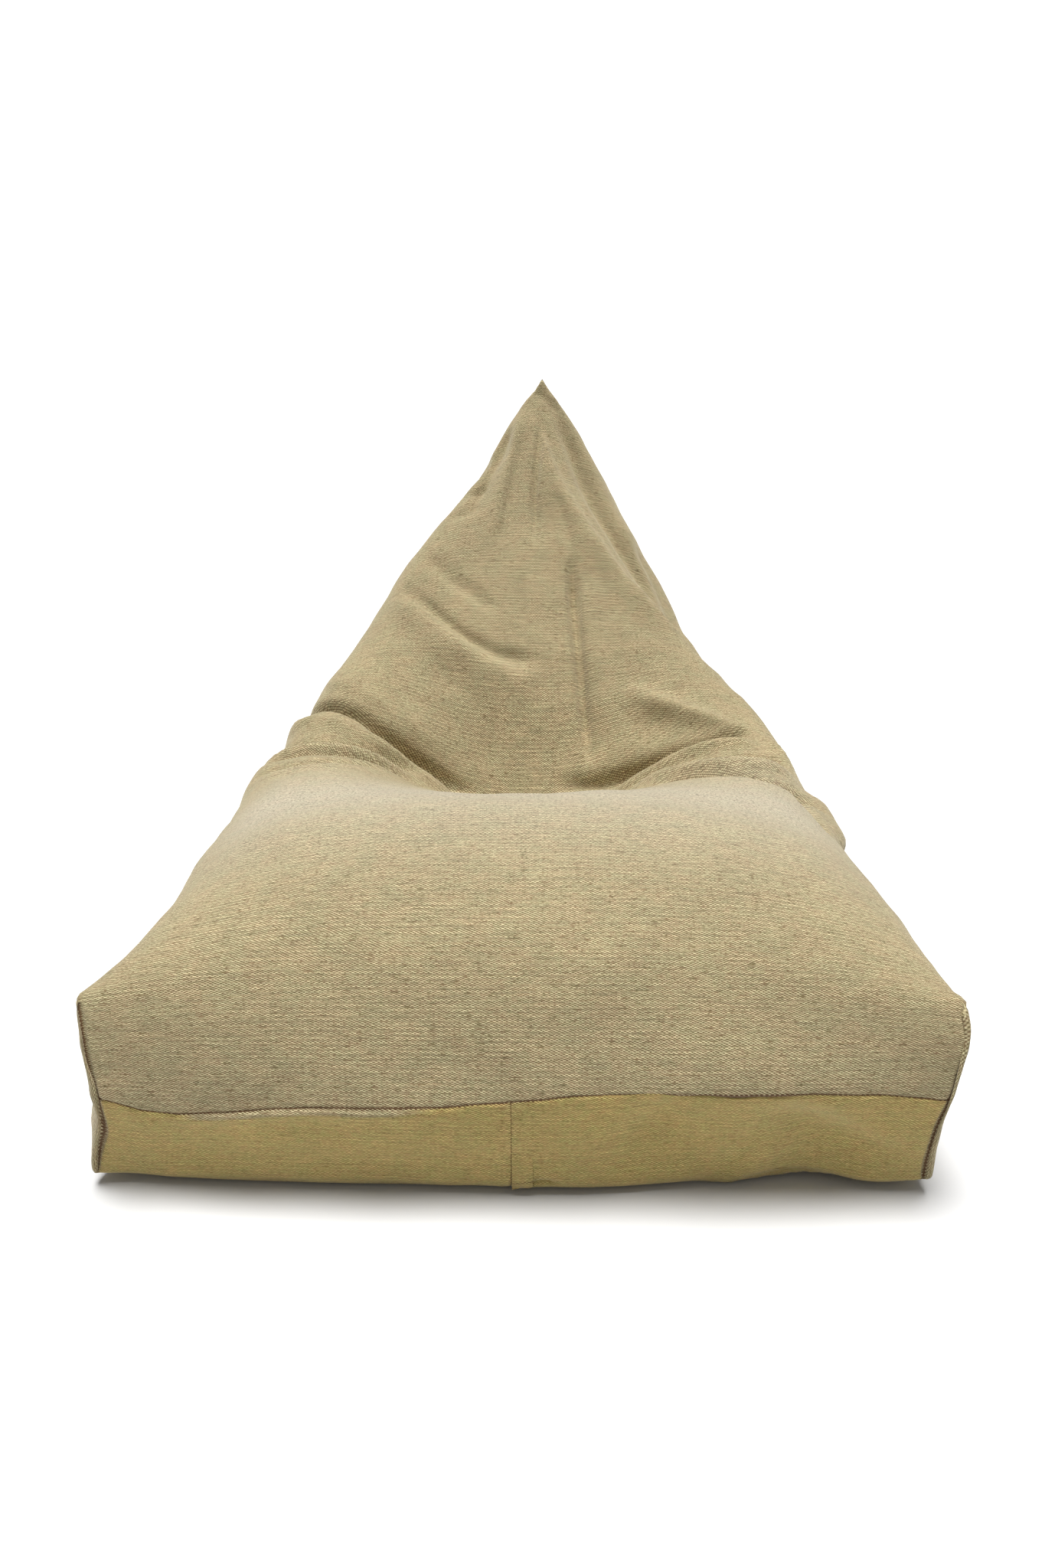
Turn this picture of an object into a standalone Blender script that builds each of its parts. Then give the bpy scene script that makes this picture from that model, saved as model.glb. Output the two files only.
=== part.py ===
"""Lounger pouf: a bead-filled bag with a low wide front and a peaked back.

The cover is one width of cloth wrapped round as a tube. A level seam closes it
across the front, where both corners are boxed, and an upright seam closes it
down the back. The bag is modelled on that cloth: a grid of rows along the tube
and columns round it, sewn to itself at the seams.

Metres, +Z up, front towards -Y, standing on z = 0 with its base centred.
"""

from collections import namedtuple
from math import pi

import bmesh
import bpy
import numpy as np
from mathutils import Matrix, Vector
from mathutils.bvhtree import BVHTree

# cloth, measured round half the tube from the top centre line
PANEL_HALF = 0.49      # to the boxed corner seam
BOX_HALF = 0.125       # half the length of a boxed corner seam
CLOTH_HALF = 1.23      # to the under centre line
PANEL_COLUMNS = 17
BOX_STEPS = (0.0, 0.012, 0.050, 0.088, BOX_HALF)
ROW_STEP = 0.028

# how the cloth is drawn together
PANEL_CROWN = 3.0      # how late the front panel turns back to its corners
CORNER_REACH = 0.06    # how far back a boxed corner still pulls the cloth
HOLLOW_FADE = 0.20     # cloth beside the hollow's edge that follows it
FOLD_TAPER = 0.25      # share of a fold's length over which it fades in

# placket end
TAB_LEFT = -0.013
TAB_RIGHT = 0.012
TAB_TOP = 0.068
TAB_FOOT = 0.0006
TAB_THICK = 0.002
TAB_STEP = 0.004
GAP = 0.0006

# One row per section of the tube. Along: distance from the front seam up the
# top centre line. The other columns place the top, the side and the under
# line, then the half width and how square the upper and lower halves are.
Section = namedtuple("Section", "along y_top z_top y_side z_side y_under z_under half upper lower")
SECTIONS = (
    Section(0.000, 0.000, 0.148, 0.014, 0.148, 0.000, 0.148, 0.490, 9.0, 9.0),
    Section(0.040, 0.015, 0.185, 0.017, 0.148, 0.005, 0.105, 0.495, 9.0, 9.0),
    Section(0.083, 0.035, 0.224, 0.020, 0.148, 0.013, 0.060, 0.500, 9.0, 9.0),
    Section(0.125, 0.056, 0.260, 0.024, 0.148, 0.024, 0.016, 0.505, 9.0, 9.0),
    Section(0.165, 0.079, 0.292, 0.060, 0.148, 0.048, -0.002, 0.515, 5.0, 7.0),
    Section(0.230, 0.128, 0.334, 0.115, 0.156, 0.120, -0.006, 0.509, 3.5, 6.0),
    Section(0.300, 0.187, 0.369, 0.175, 0.170, 0.180, -0.008, 0.497, 3.0, 5.0),
    Section(0.420, 0.300, 0.401, 0.290, 0.185, 0.290, -0.008, 0.479, 2.8, 4.5),
    Section(0.540, 0.420, 0.401, 0.400, 0.190, 0.400, -0.008, 0.471, 2.9, 4.2),
    Section(0.680, 0.560, 0.401, 0.540, 0.190, 0.530, -0.008, 0.463, 3.2, 4.2),
    Section(0.820, 0.700, 0.411, 0.670, 0.195, 0.660, -0.008, 0.450, 3.4, 4.0),
    Section(0.950, 0.820, 0.434, 0.790, 0.205, 0.790, -0.008, 0.432, 3.4, 3.8),
    Section(1.080, 0.930, 0.487, 0.900, 0.220, 0.900, -0.008, 0.397, 3.3, 3.6),
    Section(1.200, 1.020, 0.552, 1.005, 0.235, 1.000, -0.008, 0.349, 3.2, 3.4),
    Section(1.330, 1.110, 0.647, 1.115, 0.250, 1.100, -0.008, 0.294, 3.3, 3.0),
    Section(1.450, 1.185, 0.747, 1.205, 0.265, 1.180, -0.007, 0.222, 3.0, 2.8),
    Section(1.550, 1.240, 0.835, 1.270, 0.285, 1.235, -0.005, 0.157, 2.7, 2.6),
    Section(1.610, 1.267, 0.886, 1.305, 0.295, 1.262, -0.003, 0.111, 2.4, 2.5),
    Section(1.650, 1.280, 0.916, 1.325, 0.305, 1.275, 0.000, 0.000, 2.2, 2.4),
)
CLOTH_LONG = SECTIONS[-1].along

# boxed corner seams, by the distance up from the end of the front seam
BoxPoint = namedtuple("BoxPoint", "up x_right x_left y z")
BOX_SEAM = (
    BoxPoint(-0.125, 0.491, 0.522, 0.036, 0.020),
    BoxPoint(-0.088, 0.488, 0.513, 0.028, 0.056),
    BoxPoint(-0.050, 0.486, 0.501, 0.019, 0.096),
    BoxPoint(0.000, 0.493, 0.501, 0.013, 0.148),
    BoxPoint(0.050, 0.501, 0.509, 0.019, 0.192),
    BoxPoint(0.088, 0.506, 0.512, 0.028, 0.222),
    BoxPoint(0.125, 0.502, 0.516, 0.041, 0.247),
)

# hollow that a sitter has pressed between the seat's crest and the back
# across: how far out it reaches, and how flat it is between steep sides
Hollow = namedtuple("Hollow", "along depth half square")
HOLLOW = (
    Hollow(0.42, 0.000, 0.30, 2.0),
    Hollow(0.48, 0.012, 0.30, 2.0),
    Hollow(0.54, 0.033, 0.30, 2.0),
    Hollow(0.61, 0.063, 0.30, 2.2),
    Hollow(0.68, 0.096, 0.29, 2.6),
    Hollow(0.75, 0.136, 0.28, 2.8),
    Hollow(0.82, 0.185, 0.27, 2.8),
    Hollow(0.86, 0.205, 0.27, 2.8),
    Hollow(0.90, 0.202, 0.27, 2.8),
    Hollow(0.95, 0.160, 0.26, 2.8),
    Hollow(1.02, 0.098, 0.25, 2.8),
    Hollow(1.10, 0.048, 0.24, 2.8),
    Hollow(1.20, 0.016, 0.22, 2.8),
    Hollow(1.30, 0.000, 0.20, 2.8),
)

# how far the bag stands to the right of its middle, by distance along the tube
Lean = namedtuple("Lean", "along right")
LEAN = (
    Lean(0.125, 0.000),
    Lean(0.165, -0.005),
    Lean(0.230, 0.002),
    Lean(0.340, 0.007),
    Lean(0.450, -0.001),
    Lean(0.560, -0.003),
    Lean(0.900, 0.000),
    Lean(1.100, -0.008),
    Lean(1.250, -0.012),
    Lean(1.400, -0.002),
    Lean(1.500, 0.013),
    Lean(1.600, 0.016),
    Lean(1.650, 0.016),
)

# sag of the front seam along its length: the left part hangs lower
Sag = namedtuple("Sag", "x drop")
SEAM_SAG = (
    Sag(-0.49, 0.0110),
    Sag(-0.44, 0.0245),
    Sag(-0.40, 0.0265),
    Sag(-0.35, 0.0215),
    Sag(-0.30, 0.0160),
    Sag(-0.24, 0.0110),
    Sag(-0.17, 0.0100),
    Sag(-0.10, 0.0085),
    Sag(0.00, -0.0015),
    Sag(0.06, -0.0090),
    Sag(0.15, -0.0117),
    Sag(0.33, -0.0128),
    Sag(0.42, -0.0080),
    Sag(0.49, 0.0000),
)
SAG_REACH = 0.10

# Folds as paths on the cloth: distance along the tube and round it from the
# top centre line, + to the right, at the start, middle and end of each. A
# height under zero is a crease.
Fold = namedtuple("Fold", "name along1 round1 along2 round2 along3 round3 height half")
FOLDS = (
    Fold("left_crease", 1.045, -0.52, 0.930, -0.30, 0.905, -0.08, -0.022, 0.026),
    Fold("left_ridge", 0.965, -0.52, 0.884, -0.315, 0.895, -0.13, 0.015, 0.026),
    Fold("left_low_crease", 0.87, -0.50, 0.820, -0.345, 0.885, -0.17, -0.011, 0.026),
    Fold("left_side_swell", 0.80, -0.44, 0.75, -0.50, 0.70, -0.60, 0.010, 0.040),
    Fold("left_side_drag", 0.84, -0.54, 0.80, -0.66, 0.80, -0.80, -0.018, 0.045),
    Fold("right_ridge", 1.04, 0.16, 0.910, 0.345, 0.73, 0.470, 0.021, 0.026),
    Fold("right_crease", 0.91, 0.02, 0.898, 0.20, 0.855, 0.37, -0.024, 0.026),
    Fold("right_low_crease", 0.80, 0.14, 0.720, 0.33, 0.700, 0.49, -0.012, 0.028),
    Fold("right_side_swell", 1.06, 0.38, 0.95, 0.45, 0.84, 0.50, 0.009, 0.040),
    Fold("right_lobe", 0.71, 0.50, 0.63, 0.515, 0.55, 0.53, 0.017, 0.034),
    Fold("right_side_drag", 0.64, 0.60, 0.68, 0.70, 0.72, 0.84, -0.018, 0.045),
    Fold("back_left_ridge", 1.27, -0.31, 1.105, -0.125, 1.075, 0.05, 0.011, 0.026),
    Fold("back_left_crease", 1.23, -0.33, 1.075, -0.165, 1.02, -0.06, -0.008, 0.028),
    Fold("back_right_ridge", 1.60, -0.04, 1.34, 0.125, 1.13, 0.36, 0.013, 0.030),
    Fold("back_right_facet", 1.62, 0.03, 1.38, 0.17, 1.19, 0.37, -0.014, 0.030),
    Fold("back_right_notch", 1.25, 0.34, 1.175, 0.375, 1.11, 0.43, -0.016, 0.032),
    Fold("back_centre_crease", 1.30, 0.100, 1.10, 0.104, 0.93, 0.115, -0.008, 0.026),
    Fold("peak_left_notch", 1.53, -0.12, 1.48, -0.17, 1.43, -0.26, -0.012, 0.032),
    Fold("band_hollow", 0.02, 0.86, 0.10, 0.89, 0.20, 0.91, -0.022, 0.070),
    Fold("band_lift", 0.02, 1.12, 0.08, 1.04, 0.13, 0.96, -0.012, 0.070),
    Fold("left_corner_swell", 0.16, -0.64, 0.19, -0.69, 0.24, -0.74, 0.008, 0.050),
)

# materials: linear base colour, roughness
COVER_COLOUR = (0.46, 0.37, 0.21, 1.0)
TAB_COLOUR = (0.31, 0.24, 0.10, 1.0)
CLOTH_ROUGHNESS = 0.95

PANEL = PANEL_COLUMNS
BOX = len(BOX_STEPS) - 1
BOX_END = PANEL + 2 * BOX
UNDER = 2 * PANEL + 2 * BOX


def smooth_row(table, where):
    """Values of a table at one place, on a curve that never overshoots its rows."""
    data = np.array(table, dtype=float)
    x = data[:, 0]
    gap = np.diff(x)
    slope = np.diff(data[:, 1:], axis=0) / gap[:, None]
    tangent = np.zeros_like(data[:, 1:])
    for k in range(1, len(x) - 1):
        before, after = slope[k - 1], slope[k]
        same = before * after > 0
        w1 = 2 * gap[k] + gap[k - 1]
        w2 = gap[k] + 2 * gap[k - 1]
        safe_before = np.where(same, before, 1.0)
        safe_after = np.where(same, after, 1.0)
        mean = (w1 + w2) / (w1 / safe_before + w2 / safe_after)
        tangent[k] = np.where(same, mean, 0.0)
    tangent[0] = slope[0]
    tangent[-1] = slope[-1]
    k = int(np.clip(np.searchsorted(x, where, side="right") - 1, 0, len(x) - 2))
    t = (where - x[k]) / gap[k]
    start = data[k, 1:] * (1 + 2 * t) * (1 - t) ** 2
    end = data[k + 1, 1:] * t * t * (3 - 2 * t)
    bend = tangent[k] * gap[k] * t * (1 - t) ** 2 + tangent[k + 1] * gap[k] * t * t * (t - 1)
    return start + end + bend


def cloth_columns():
    """Distances round the cloth from the top centre line to the under centre line."""
    top = np.linspace(0.0, PANEL_HALF, PANEL + 1)
    middle = PANEL_HALF + BOX_HALF
    upper_box = [middle - step for step in reversed(BOX_STEPS[:-1])]
    lower_box = [middle + step for step in BOX_STEPS[1:]]
    under = np.linspace(PANEL_HALF + 2 * BOX_HALF, CLOTH_HALF, PANEL + 1)[1:]
    return np.concatenate([top, upper_box, lower_box, under])


def cloth_rows():
    """Distances along the tube: the boxed depth first, then even rows to the back seam."""
    end = SECTIONS[-1].along
    count = int(round((end - BOX_HALF) / ROW_STEP))
    return np.concatenate([BOX_STEPS, np.linspace(BOX_HALF, end, count + 1)[1:]])


def half_section(section, shares):
    """Points from the top centre round one side to the under centre, evenly on the cloth."""
    y_top, z_top, y_side, z_side, y_under, z_under, half, upper, lower = section
    turn = np.linspace(0.0, pi / 2, 400)
    x_up = half * np.sin(turn) ** (2 / upper)
    z_up = z_side + (z_top - z_side) * np.cos(turn) ** (2 / upper)
    x_low = half * np.sin(turn) ** (2 / lower)
    z_low = z_side + (z_under - z_side) * np.cos(turn) ** (2 / lower)
    x = np.concatenate([x_up, x_low[::-1][1:]])
    z = np.concatenate([z_up, z_low[::-1][1:]])
    arc = np.concatenate([[0.0], np.cumsum(np.hypot(np.diff(x), np.diff(z)))])
    xs = np.interp(shares * arc[-1], arc, x)
    zs = np.interp(shares * arc[-1], arc, z)
    high = np.clip((zs - z_side) / max(z_top - z_side, 1e-6), 0.0, 1.0)
    low = np.clip((z_side - zs) / max(z_side - z_under, 1e-6), 0.0, 1.0)
    ys = y_side + (y_top - y_side) * high ** 1.5 + (y_under - y_side) * low ** 1.5
    return np.stack([xs, ys, zs], axis=-1)


def panel_row(line, centre, edge, under):
    """Fill one row of a front panel, from its centre point to its point on the boxed seam."""
    for k in range(PANEL + 1):
        share = k / PANEL
        crown = share ** PANEL_CROWN
        y = centre[0] + (edge[1] - centre[0]) * crown
        z = centre[1] + (edge[2] - centre[1]) * crown
        line[UNDER - k if under else k] = (edge[0] * share, y, z)


def half_grid(rows, columns, left):
    """Places of the cloth grid on one half of the bag, as if on the right."""
    shares = columns / CLOTH_HALF
    grid = np.zeros((len(rows), UNDER + 1, 3))
    for i in range(BOX, len(rows)):
        grid[i] = half_section(smooth_row(SECTIONS, rows[i]), shares)
    # the row behind the boxed seams takes their line, and pulls the rows after it
    first = smooth_row(SECTIONS, BOX_HALF)
    sewn = grid[BOX].copy()
    ups = list(reversed(BOX_STEPS)) + [-step for step in BOX_STEPS[1:]]
    for k, up in enumerate(ups):
        x_right, x_left, y, z = smooth_row(BOX_SEAM, up)
        sewn[PANEL + k] = (x_left if left else x_right, y, z)
    panel_row(sewn, (first[0], first[1]), sewn[PANEL], False)
    panel_row(sewn, (first[4], first[5]), sewn[BOX_END], True)
    pull = sewn - grid[BOX]
    for i in range(BOX, len(rows)):
        grid[i] += pull * np.exp(-((rows[i] - BOX_HALF) / CORNER_REACH) ** 1.2)
    # the two front panels, between the boxed seams
    for i in range(BOX):
        section = smooth_row(SECTIONS, rows[i])
        panel_row(grid[i], (section[0], section[1]), grid[BOX, PANEL + BOX - i], False)
        panel_row(grid[i], (section[4], section[5]), grid[BOX, PANEL + BOX + i], True)
    return grid


def sewn_place(i, j, last):
    """The one grid place that stands for every place sewn to (i, j)."""
    j = (j + UNDER) % (2 * UNDER) - UNDER
    side = 1 if j >= 0 else -1
    away = abs(j)
    if i == last:
        return i, away
    if i == 0 and away >= BOX_END:
        return 0, side * (UNDER - away)
    if i == BOX and PANEL < away < BOX_END:
        step = away - PANEL
        if step <= BOX:
            return BOX - step, side * PANEL
        return step - BOX, side * BOX_END
    if j == -UNDER:
        return i, UNDER
    return i, j


def sew_grid(rows, columns):
    """Join the grid into one closed skin: places, faces and each place's cloth address."""
    halves = (half_grid(rows, columns, False), half_grid(rows, columns, True))
    last = len(rows) - 1
    places, faces, cloth, index = [], [], [], {}

    def number(i, j):
        key = sewn_place(i, j, last)
        if key not in index:
            row, column = key
            place = halves[column < 0][row, abs(column)].copy()
            place[0] *= 1 if column > 0 else -1
            if column in (0, UNDER) or row == last:
                place[0] = 0.0
            index[key] = len(places)
            places.append(place)
            cloth.append((rows[row], np.sign(column) * columns[abs(column)]))
        return index[key]

    for i in range(last):
        for j in range(-UNDER, UNDER):
            near, far = sorted((abs(j), abs(j + 1)))
            if i < BOX and near >= PANEL and far <= BOX_END:
                continue
            corners = [number(i, j + 1), number(i + 1, j + 1), number(i + 1, j), number(i, j)]
            ring = list(dict.fromkeys(corners))
            ends = [k for k, n in enumerate(ring) if n in (index.get((last, 0)), index.get((last, UNDER)))]
            if ends:
                # split at the ends of the back seam, so that the tip stays solid
                ring = ring[ends[0]:] + ring[:ends[0]]
                faces.append(ring[:3])
                faces.append([ring[0], ring[2], ring[3]])
            elif len(ring) > 2:
                faces.append(ring)
    return np.array(places), faces, np.array(cloth)


def outward(places, faces):
    """Direction that faces out of the skin at each place."""
    total = np.zeros_like(places)
    for ring in faces:
        p = places[ring]
        area = np.zeros(3)
        for k in range(1, len(ring) - 1):
            area += np.cross(p[k] - p[0], p[k + 1] - p[0])
        total[ring] += area
    return total / np.maximum(np.linalg.norm(total, axis=1), 1e-12)[:, None]


def sag_front_seam(places, cloth):
    """Lower the front seam where it hangs, fading up and down the two front panels."""
    table = np.array(SEAM_SAG)
    drop = np.interp(places[:, 0], table[:, 0], table[:, 1])
    on_panel = (cloth[:, 0] <= BOX_HALF) | (np.abs(cloth[:, 1]) < PANEL_HALF)
    fade = np.clip(1.0 - cloth[:, 0] / SAG_REACH, 0.0, 1.0)
    places[:, 2] -= drop * fade * fade * (3 - 2 * fade) * on_panel


def press_hollow(places, cloth):
    """Press the seat's hollow into the top of the bag."""
    table = np.array(HOLLOW)
    depth = np.interp(cloth[:, 0], table[:, 0], table[:, 1])
    half = np.interp(cloth[:, 0], table[:, 0], table[:, 2])
    square = np.interp(cloth[:, 0], table[:, 0], table[:, 3])
    middle = PANEL_HALF + BOX_HALF
    top = np.clip((middle - np.abs(cloth[:, 1])) / HOLLOW_FADE, 0.0, 1.0)
    places[:, 2] -= depth * np.exp(-np.abs(places[:, 0] / half) ** square) * top


def fold_height(fold, cloth):
    """Height of one fold over the cloth: rounded across its path, fading at both ends."""
    ends = ((fold.along1, fold.round1), (fold.along2, fold.round2), (fold.along3, fold.round3))
    t = np.linspace(0.0, 1.0, 41)[:, None]
    a, b, c = (np.array(p) for p in ends)
    path = a * (1 - t) * (1 - 2 * t) + b * 4 * t * (1 - t) + c * t * (2 * t - 1)
    away = np.linalg.norm(cloth[:, None, :] - path[None, :, :], axis=2)
    nearest = away.argmin(axis=1)
    distance = away[np.arange(len(cloth)), nearest]
    share = nearest / 40.0
    ends_fade = np.clip(np.minimum(share, 1 - share) / FOLD_TAPER, 0.0, 1.0)
    return fold.height * ends_fade * np.exp(-(distance / fold.half) ** 2)


def shape_bag(rows, columns):
    """Places and faces of the filled bag, standing on the floor."""
    places, faces, cloth = sew_grid(rows, columns)
    sag_front_seam(places, cloth)
    press_hollow(places, cloth)
    lean = np.array(LEAN)
    places[:, 0] += np.interp(cloth[:, 0], lean[:, 0], lean[:, 1])
    out = outward(places, faces)
    height = np.zeros(len(places))
    for fold in FOLDS:
        height += fold_height(fold, cloth)
    places += out * height[:, None]
    places[:, 2] = np.maximum(places[:, 2], 0.0)
    return places, faces


def make_object(name, places, faces, material, smooth_angle):
    """A named object from places and faces, shaded smooth."""
    mesh = bpy.data.meshes.new(name)
    mesh.from_pydata([tuple(p) for p in places], [], faces)
    mesh.materials.append(material)
    mesh.shade_smooth()
    mesh.set_sharp_from_angle(angle=smooth_angle)
    thing = bpy.data.objects.new(name, mesh)
    bpy.context.scene.collection.objects.link(thing)
    return thing


def flatten_base(thing):
    """Make the part of the skin that lies on the floor one flat face."""
    skin = bmesh.new()
    skin.from_mesh(thing.data)
    floor = [f for f in skin.faces if all(abs(v.co.z) < 1e-7 for v in f.verts)]
    bmesh.ops.dissolve_faces(skin, faces=floor, use_verts=True)
    skin.to_mesh(thing.data)
    skin.free()


def cloth_material(name, colour):
    """Woven cloth in one plain colour."""
    material = bpy.data.materials.new(name)
    material.use_nodes = True
    shader = material.node_tree.nodes["Principled BSDF"]
    shader.inputs["Base Color"].default_value = colour
    shader.inputs["Roughness"].default_value = CLOTH_ROUGHNESS
    shader.inputs["Metallic"].default_value = 0.0
    return material


def band_front(tree, z):
    """How far forward the lower front band stands near one height, behind the placket end."""
    reach = []
    for x in np.linspace(TAB_LEFT - 0.002, TAB_RIGHT + 0.002, 9):
        for lift in (-TAB_STEP, 0.0, TAB_STEP):
            hit = tree.ray_cast(Vector((x, -0.5, z + lift)), Vector((0.0, 1.0, 0.0)))[0]
            reach.append(hit.y)
    return min(reach)


def make_tab(bag, material):
    """The placket's hemmed end: a short strip that lies on the band and hangs to the floor."""
    skin = bmesh.new()
    skin.from_mesh(bag.data)
    tree = BVHTree.FromBMesh(skin)
    skin.free()
    heights = np.arange(TAB_TOP, 0.012, -TAB_STEP)
    line = [(band_front(tree, z) - GAP, z) for z in heights]
    foot = line[-1][0]
    line += [(foot + 0.0005, 0.008), (foot, TAB_FOOT)]
    inner = line
    outer = [(y - TAB_THICK, z) for y, z in line]
    ring = inner + outer[::-1]
    count = len(ring)
    places = [(x, y, z) for x in (TAB_LEFT, TAB_RIGHT) for y, z in ring]
    faces = [list(range(count)), list(range(count, 2 * count))[::-1]]
    for k in range(count):
        after = (k + 1) % count
        faces.append([k, count + k, count + after, after])
    return make_object("placket_tab", places, faces, material, 0.9)


def main():
    for thing in list(bpy.data.objects):
        bpy.data.objects.remove(thing, do_unlink=True)
    places, faces = shape_bag(cloth_rows(), cloth_columns())
    centre = (places.min(axis=0) + places.max(axis=0)) / 2
    cover = cloth_material("woven_cover", COVER_COLOUR)
    hem = cloth_material("woven_hem", TAB_COLOUR)
    bag = make_object("bag_body", places, faces, cover, 0.7)
    flatten_base(bag)
    tab = make_tab(bag, hem)
    for thing in (bag, tab):
        thing.data.transform(Matrix.Translation((-centre[0], -centre[1], 0.0)))


main()
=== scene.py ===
"""Looks of the lounger pouf: its woven cover at thread scale, seams, folds and placket end.

The cover is shaped as its pattern is: a grid of rows along the cloth tube and
columns round it, sewn to itself at the front, at both boxed corners and up the
back. Every place on it keeps its address on the cloth, in metres, which the
weave is drawn with. Metres, +Z up, front towards -Y.
"""

from collections import namedtuple
from math import cos, pi, radians, sin

import bpy
import numpy as np
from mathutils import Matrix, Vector, noise
from mathutils.bvhtree import BVHTree


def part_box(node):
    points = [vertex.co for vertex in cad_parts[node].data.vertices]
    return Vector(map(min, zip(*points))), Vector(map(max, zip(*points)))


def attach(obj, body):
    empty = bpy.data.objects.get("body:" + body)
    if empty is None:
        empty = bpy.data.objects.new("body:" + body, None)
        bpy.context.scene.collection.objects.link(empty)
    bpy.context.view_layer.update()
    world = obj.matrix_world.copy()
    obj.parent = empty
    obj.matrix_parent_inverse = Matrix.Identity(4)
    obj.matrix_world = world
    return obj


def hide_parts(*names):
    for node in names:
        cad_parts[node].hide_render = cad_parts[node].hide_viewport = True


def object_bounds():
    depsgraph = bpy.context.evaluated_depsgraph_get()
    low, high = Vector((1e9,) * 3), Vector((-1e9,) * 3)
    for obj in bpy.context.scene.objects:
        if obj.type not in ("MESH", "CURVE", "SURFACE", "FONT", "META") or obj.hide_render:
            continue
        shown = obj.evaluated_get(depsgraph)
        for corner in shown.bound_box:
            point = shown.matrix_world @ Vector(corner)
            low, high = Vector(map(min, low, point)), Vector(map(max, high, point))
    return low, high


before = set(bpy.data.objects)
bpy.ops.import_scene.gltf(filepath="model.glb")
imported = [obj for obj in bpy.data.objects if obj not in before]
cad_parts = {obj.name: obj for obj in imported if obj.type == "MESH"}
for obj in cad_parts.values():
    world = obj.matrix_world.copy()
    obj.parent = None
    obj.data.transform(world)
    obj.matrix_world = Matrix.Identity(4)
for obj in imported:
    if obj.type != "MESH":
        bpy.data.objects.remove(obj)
cad_low, cad_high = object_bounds()

# cloth, measured round half the tube from the top centre line
PANEL_HALF = 0.49  # to the boxed corner seam
BOX_HALF = 0.125  # half the length of a boxed corner seam
CLOTH_HALF = 1.23  # to the under centre line
MIDDLE = PANEL_HALF + BOX_HALF
JOIN = 0.013  # how far left of the under centre line the lengthwise join runs

# how the cloth is drawn together
PANEL_CROWN = 3.0  # how late the front panel turns back to its corners
CORNER_REACH = 0.06  # how far back a boxed corner still pulls the cloth
CORNER_CURVE = 1.2  # how sharply that pull ends
SIDE_CURVE = 1.5  # how late a section leaves the upright at its side
HOLLOW_FADE = 0.20  # cloth beside the hollow's edge that follows it
FOLD_TAPER = 0.25  # share of a fold's length over which it fades in
FOLD_REACH = 3.0  # widths of a fold out to which it is felt

# how finely shapes are worked out
FOLD_STEPS = 60  # steps along a fold's path
SECTION_POINTS = 700  # points on the upper and on the lower half of a section
HAIR = 1e-6  # allowance when places on the cloth are compared
FAR_OFF = 1.0  # stands for the distance from a seam on another part of the cloth

# grid spacing on the cloth
SEAM_STEPS = (0.0015, 0.0032, 0.0052, 0.0078, 0.0112, 0.0156)
JOIN_COLUMNS = (0.0, 0.0045, 0.0080, 0.0105, JOIN, 0.0155, 0.0185, 0.0230)
PANEL_STEP = 0.0082
BOX_STEP = 0.0070
FINE_STEP = 0.0062
PLAIN_STEP = 0.0090
FINE_FROM = 0.56
FINE_TO = 1.24

# One row per section of the tube. Along: distance from the front seam up the
# top centre line. The other columns place the top, the side and the under
# line, then the half width and how square the upper and lower halves are.
Section = namedtuple("Section", "along y_top z_top y_side z_side y_under z_under half upper lower")
SECTIONS = [Section(*row) for row in (
    (0.000, 0.000, 0.148, 0.014, 0.148, 0.000, 0.148, 0.490, 9.0, 9.0),
    (0.040, 0.015, 0.185, 0.017, 0.148, 0.005, 0.105, 0.495, 9.0, 9.0),
    (0.083, 0.035, 0.224, 0.020, 0.148, 0.013, 0.060, 0.500, 9.0, 9.0),
    (0.125, 0.056, 0.260, 0.024, 0.148, 0.024, 0.016, 0.505, 9.0, 9.0),
    (0.165, 0.079, 0.292, 0.060, 0.148, 0.048, -0.002, 0.515, 5.0, 7.0),
    (0.230, 0.128, 0.334, 0.115, 0.156, 0.120, -0.006, 0.509, 3.5, 6.0),
    (0.300, 0.187, 0.369, 0.175, 0.170, 0.180, -0.008, 0.497, 3.0, 5.0),
    (0.420, 0.300, 0.401, 0.290, 0.185, 0.290, -0.008, 0.479, 2.8, 4.5),
    (0.540, 0.420, 0.401, 0.400, 0.190, 0.400, -0.008, 0.471, 2.9, 4.2),
    (0.680, 0.560, 0.401, 0.540, 0.190, 0.530, -0.008, 0.463, 3.2, 4.2),
    (0.820, 0.700, 0.411, 0.670, 0.195, 0.660, -0.008, 0.450, 3.4, 4.0),
    (0.950, 0.820, 0.434, 0.790, 0.205, 0.790, -0.008, 0.432, 3.4, 3.8),
    (1.080, 0.930, 0.487, 0.900, 0.220, 0.900, -0.008, 0.397, 3.3, 3.6),
    (1.200, 1.020, 0.552, 1.005, 0.235, 1.000, -0.008, 0.349, 3.2, 3.4),
    (1.330, 1.110, 0.647, 1.115, 0.250, 1.100, -0.008, 0.294, 3.3, 3.0),
    (1.450, 1.185, 0.747, 1.205, 0.265, 1.180, -0.007, 0.222, 3.0, 2.8),
    (1.550, 1.240, 0.835, 1.270, 0.285, 1.235, -0.005, 0.157, 2.7, 2.6),
    (1.610, 1.267, 0.886, 1.305, 0.295, 1.262, -0.003, 0.111, 2.4, 2.5),
    (1.650, 1.280, 0.916, 1.325, 0.305, 1.275, 0.000, 0.000, 2.2, 2.4),
)]
CLOTH_LONG = SECTIONS[-1].along

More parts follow.
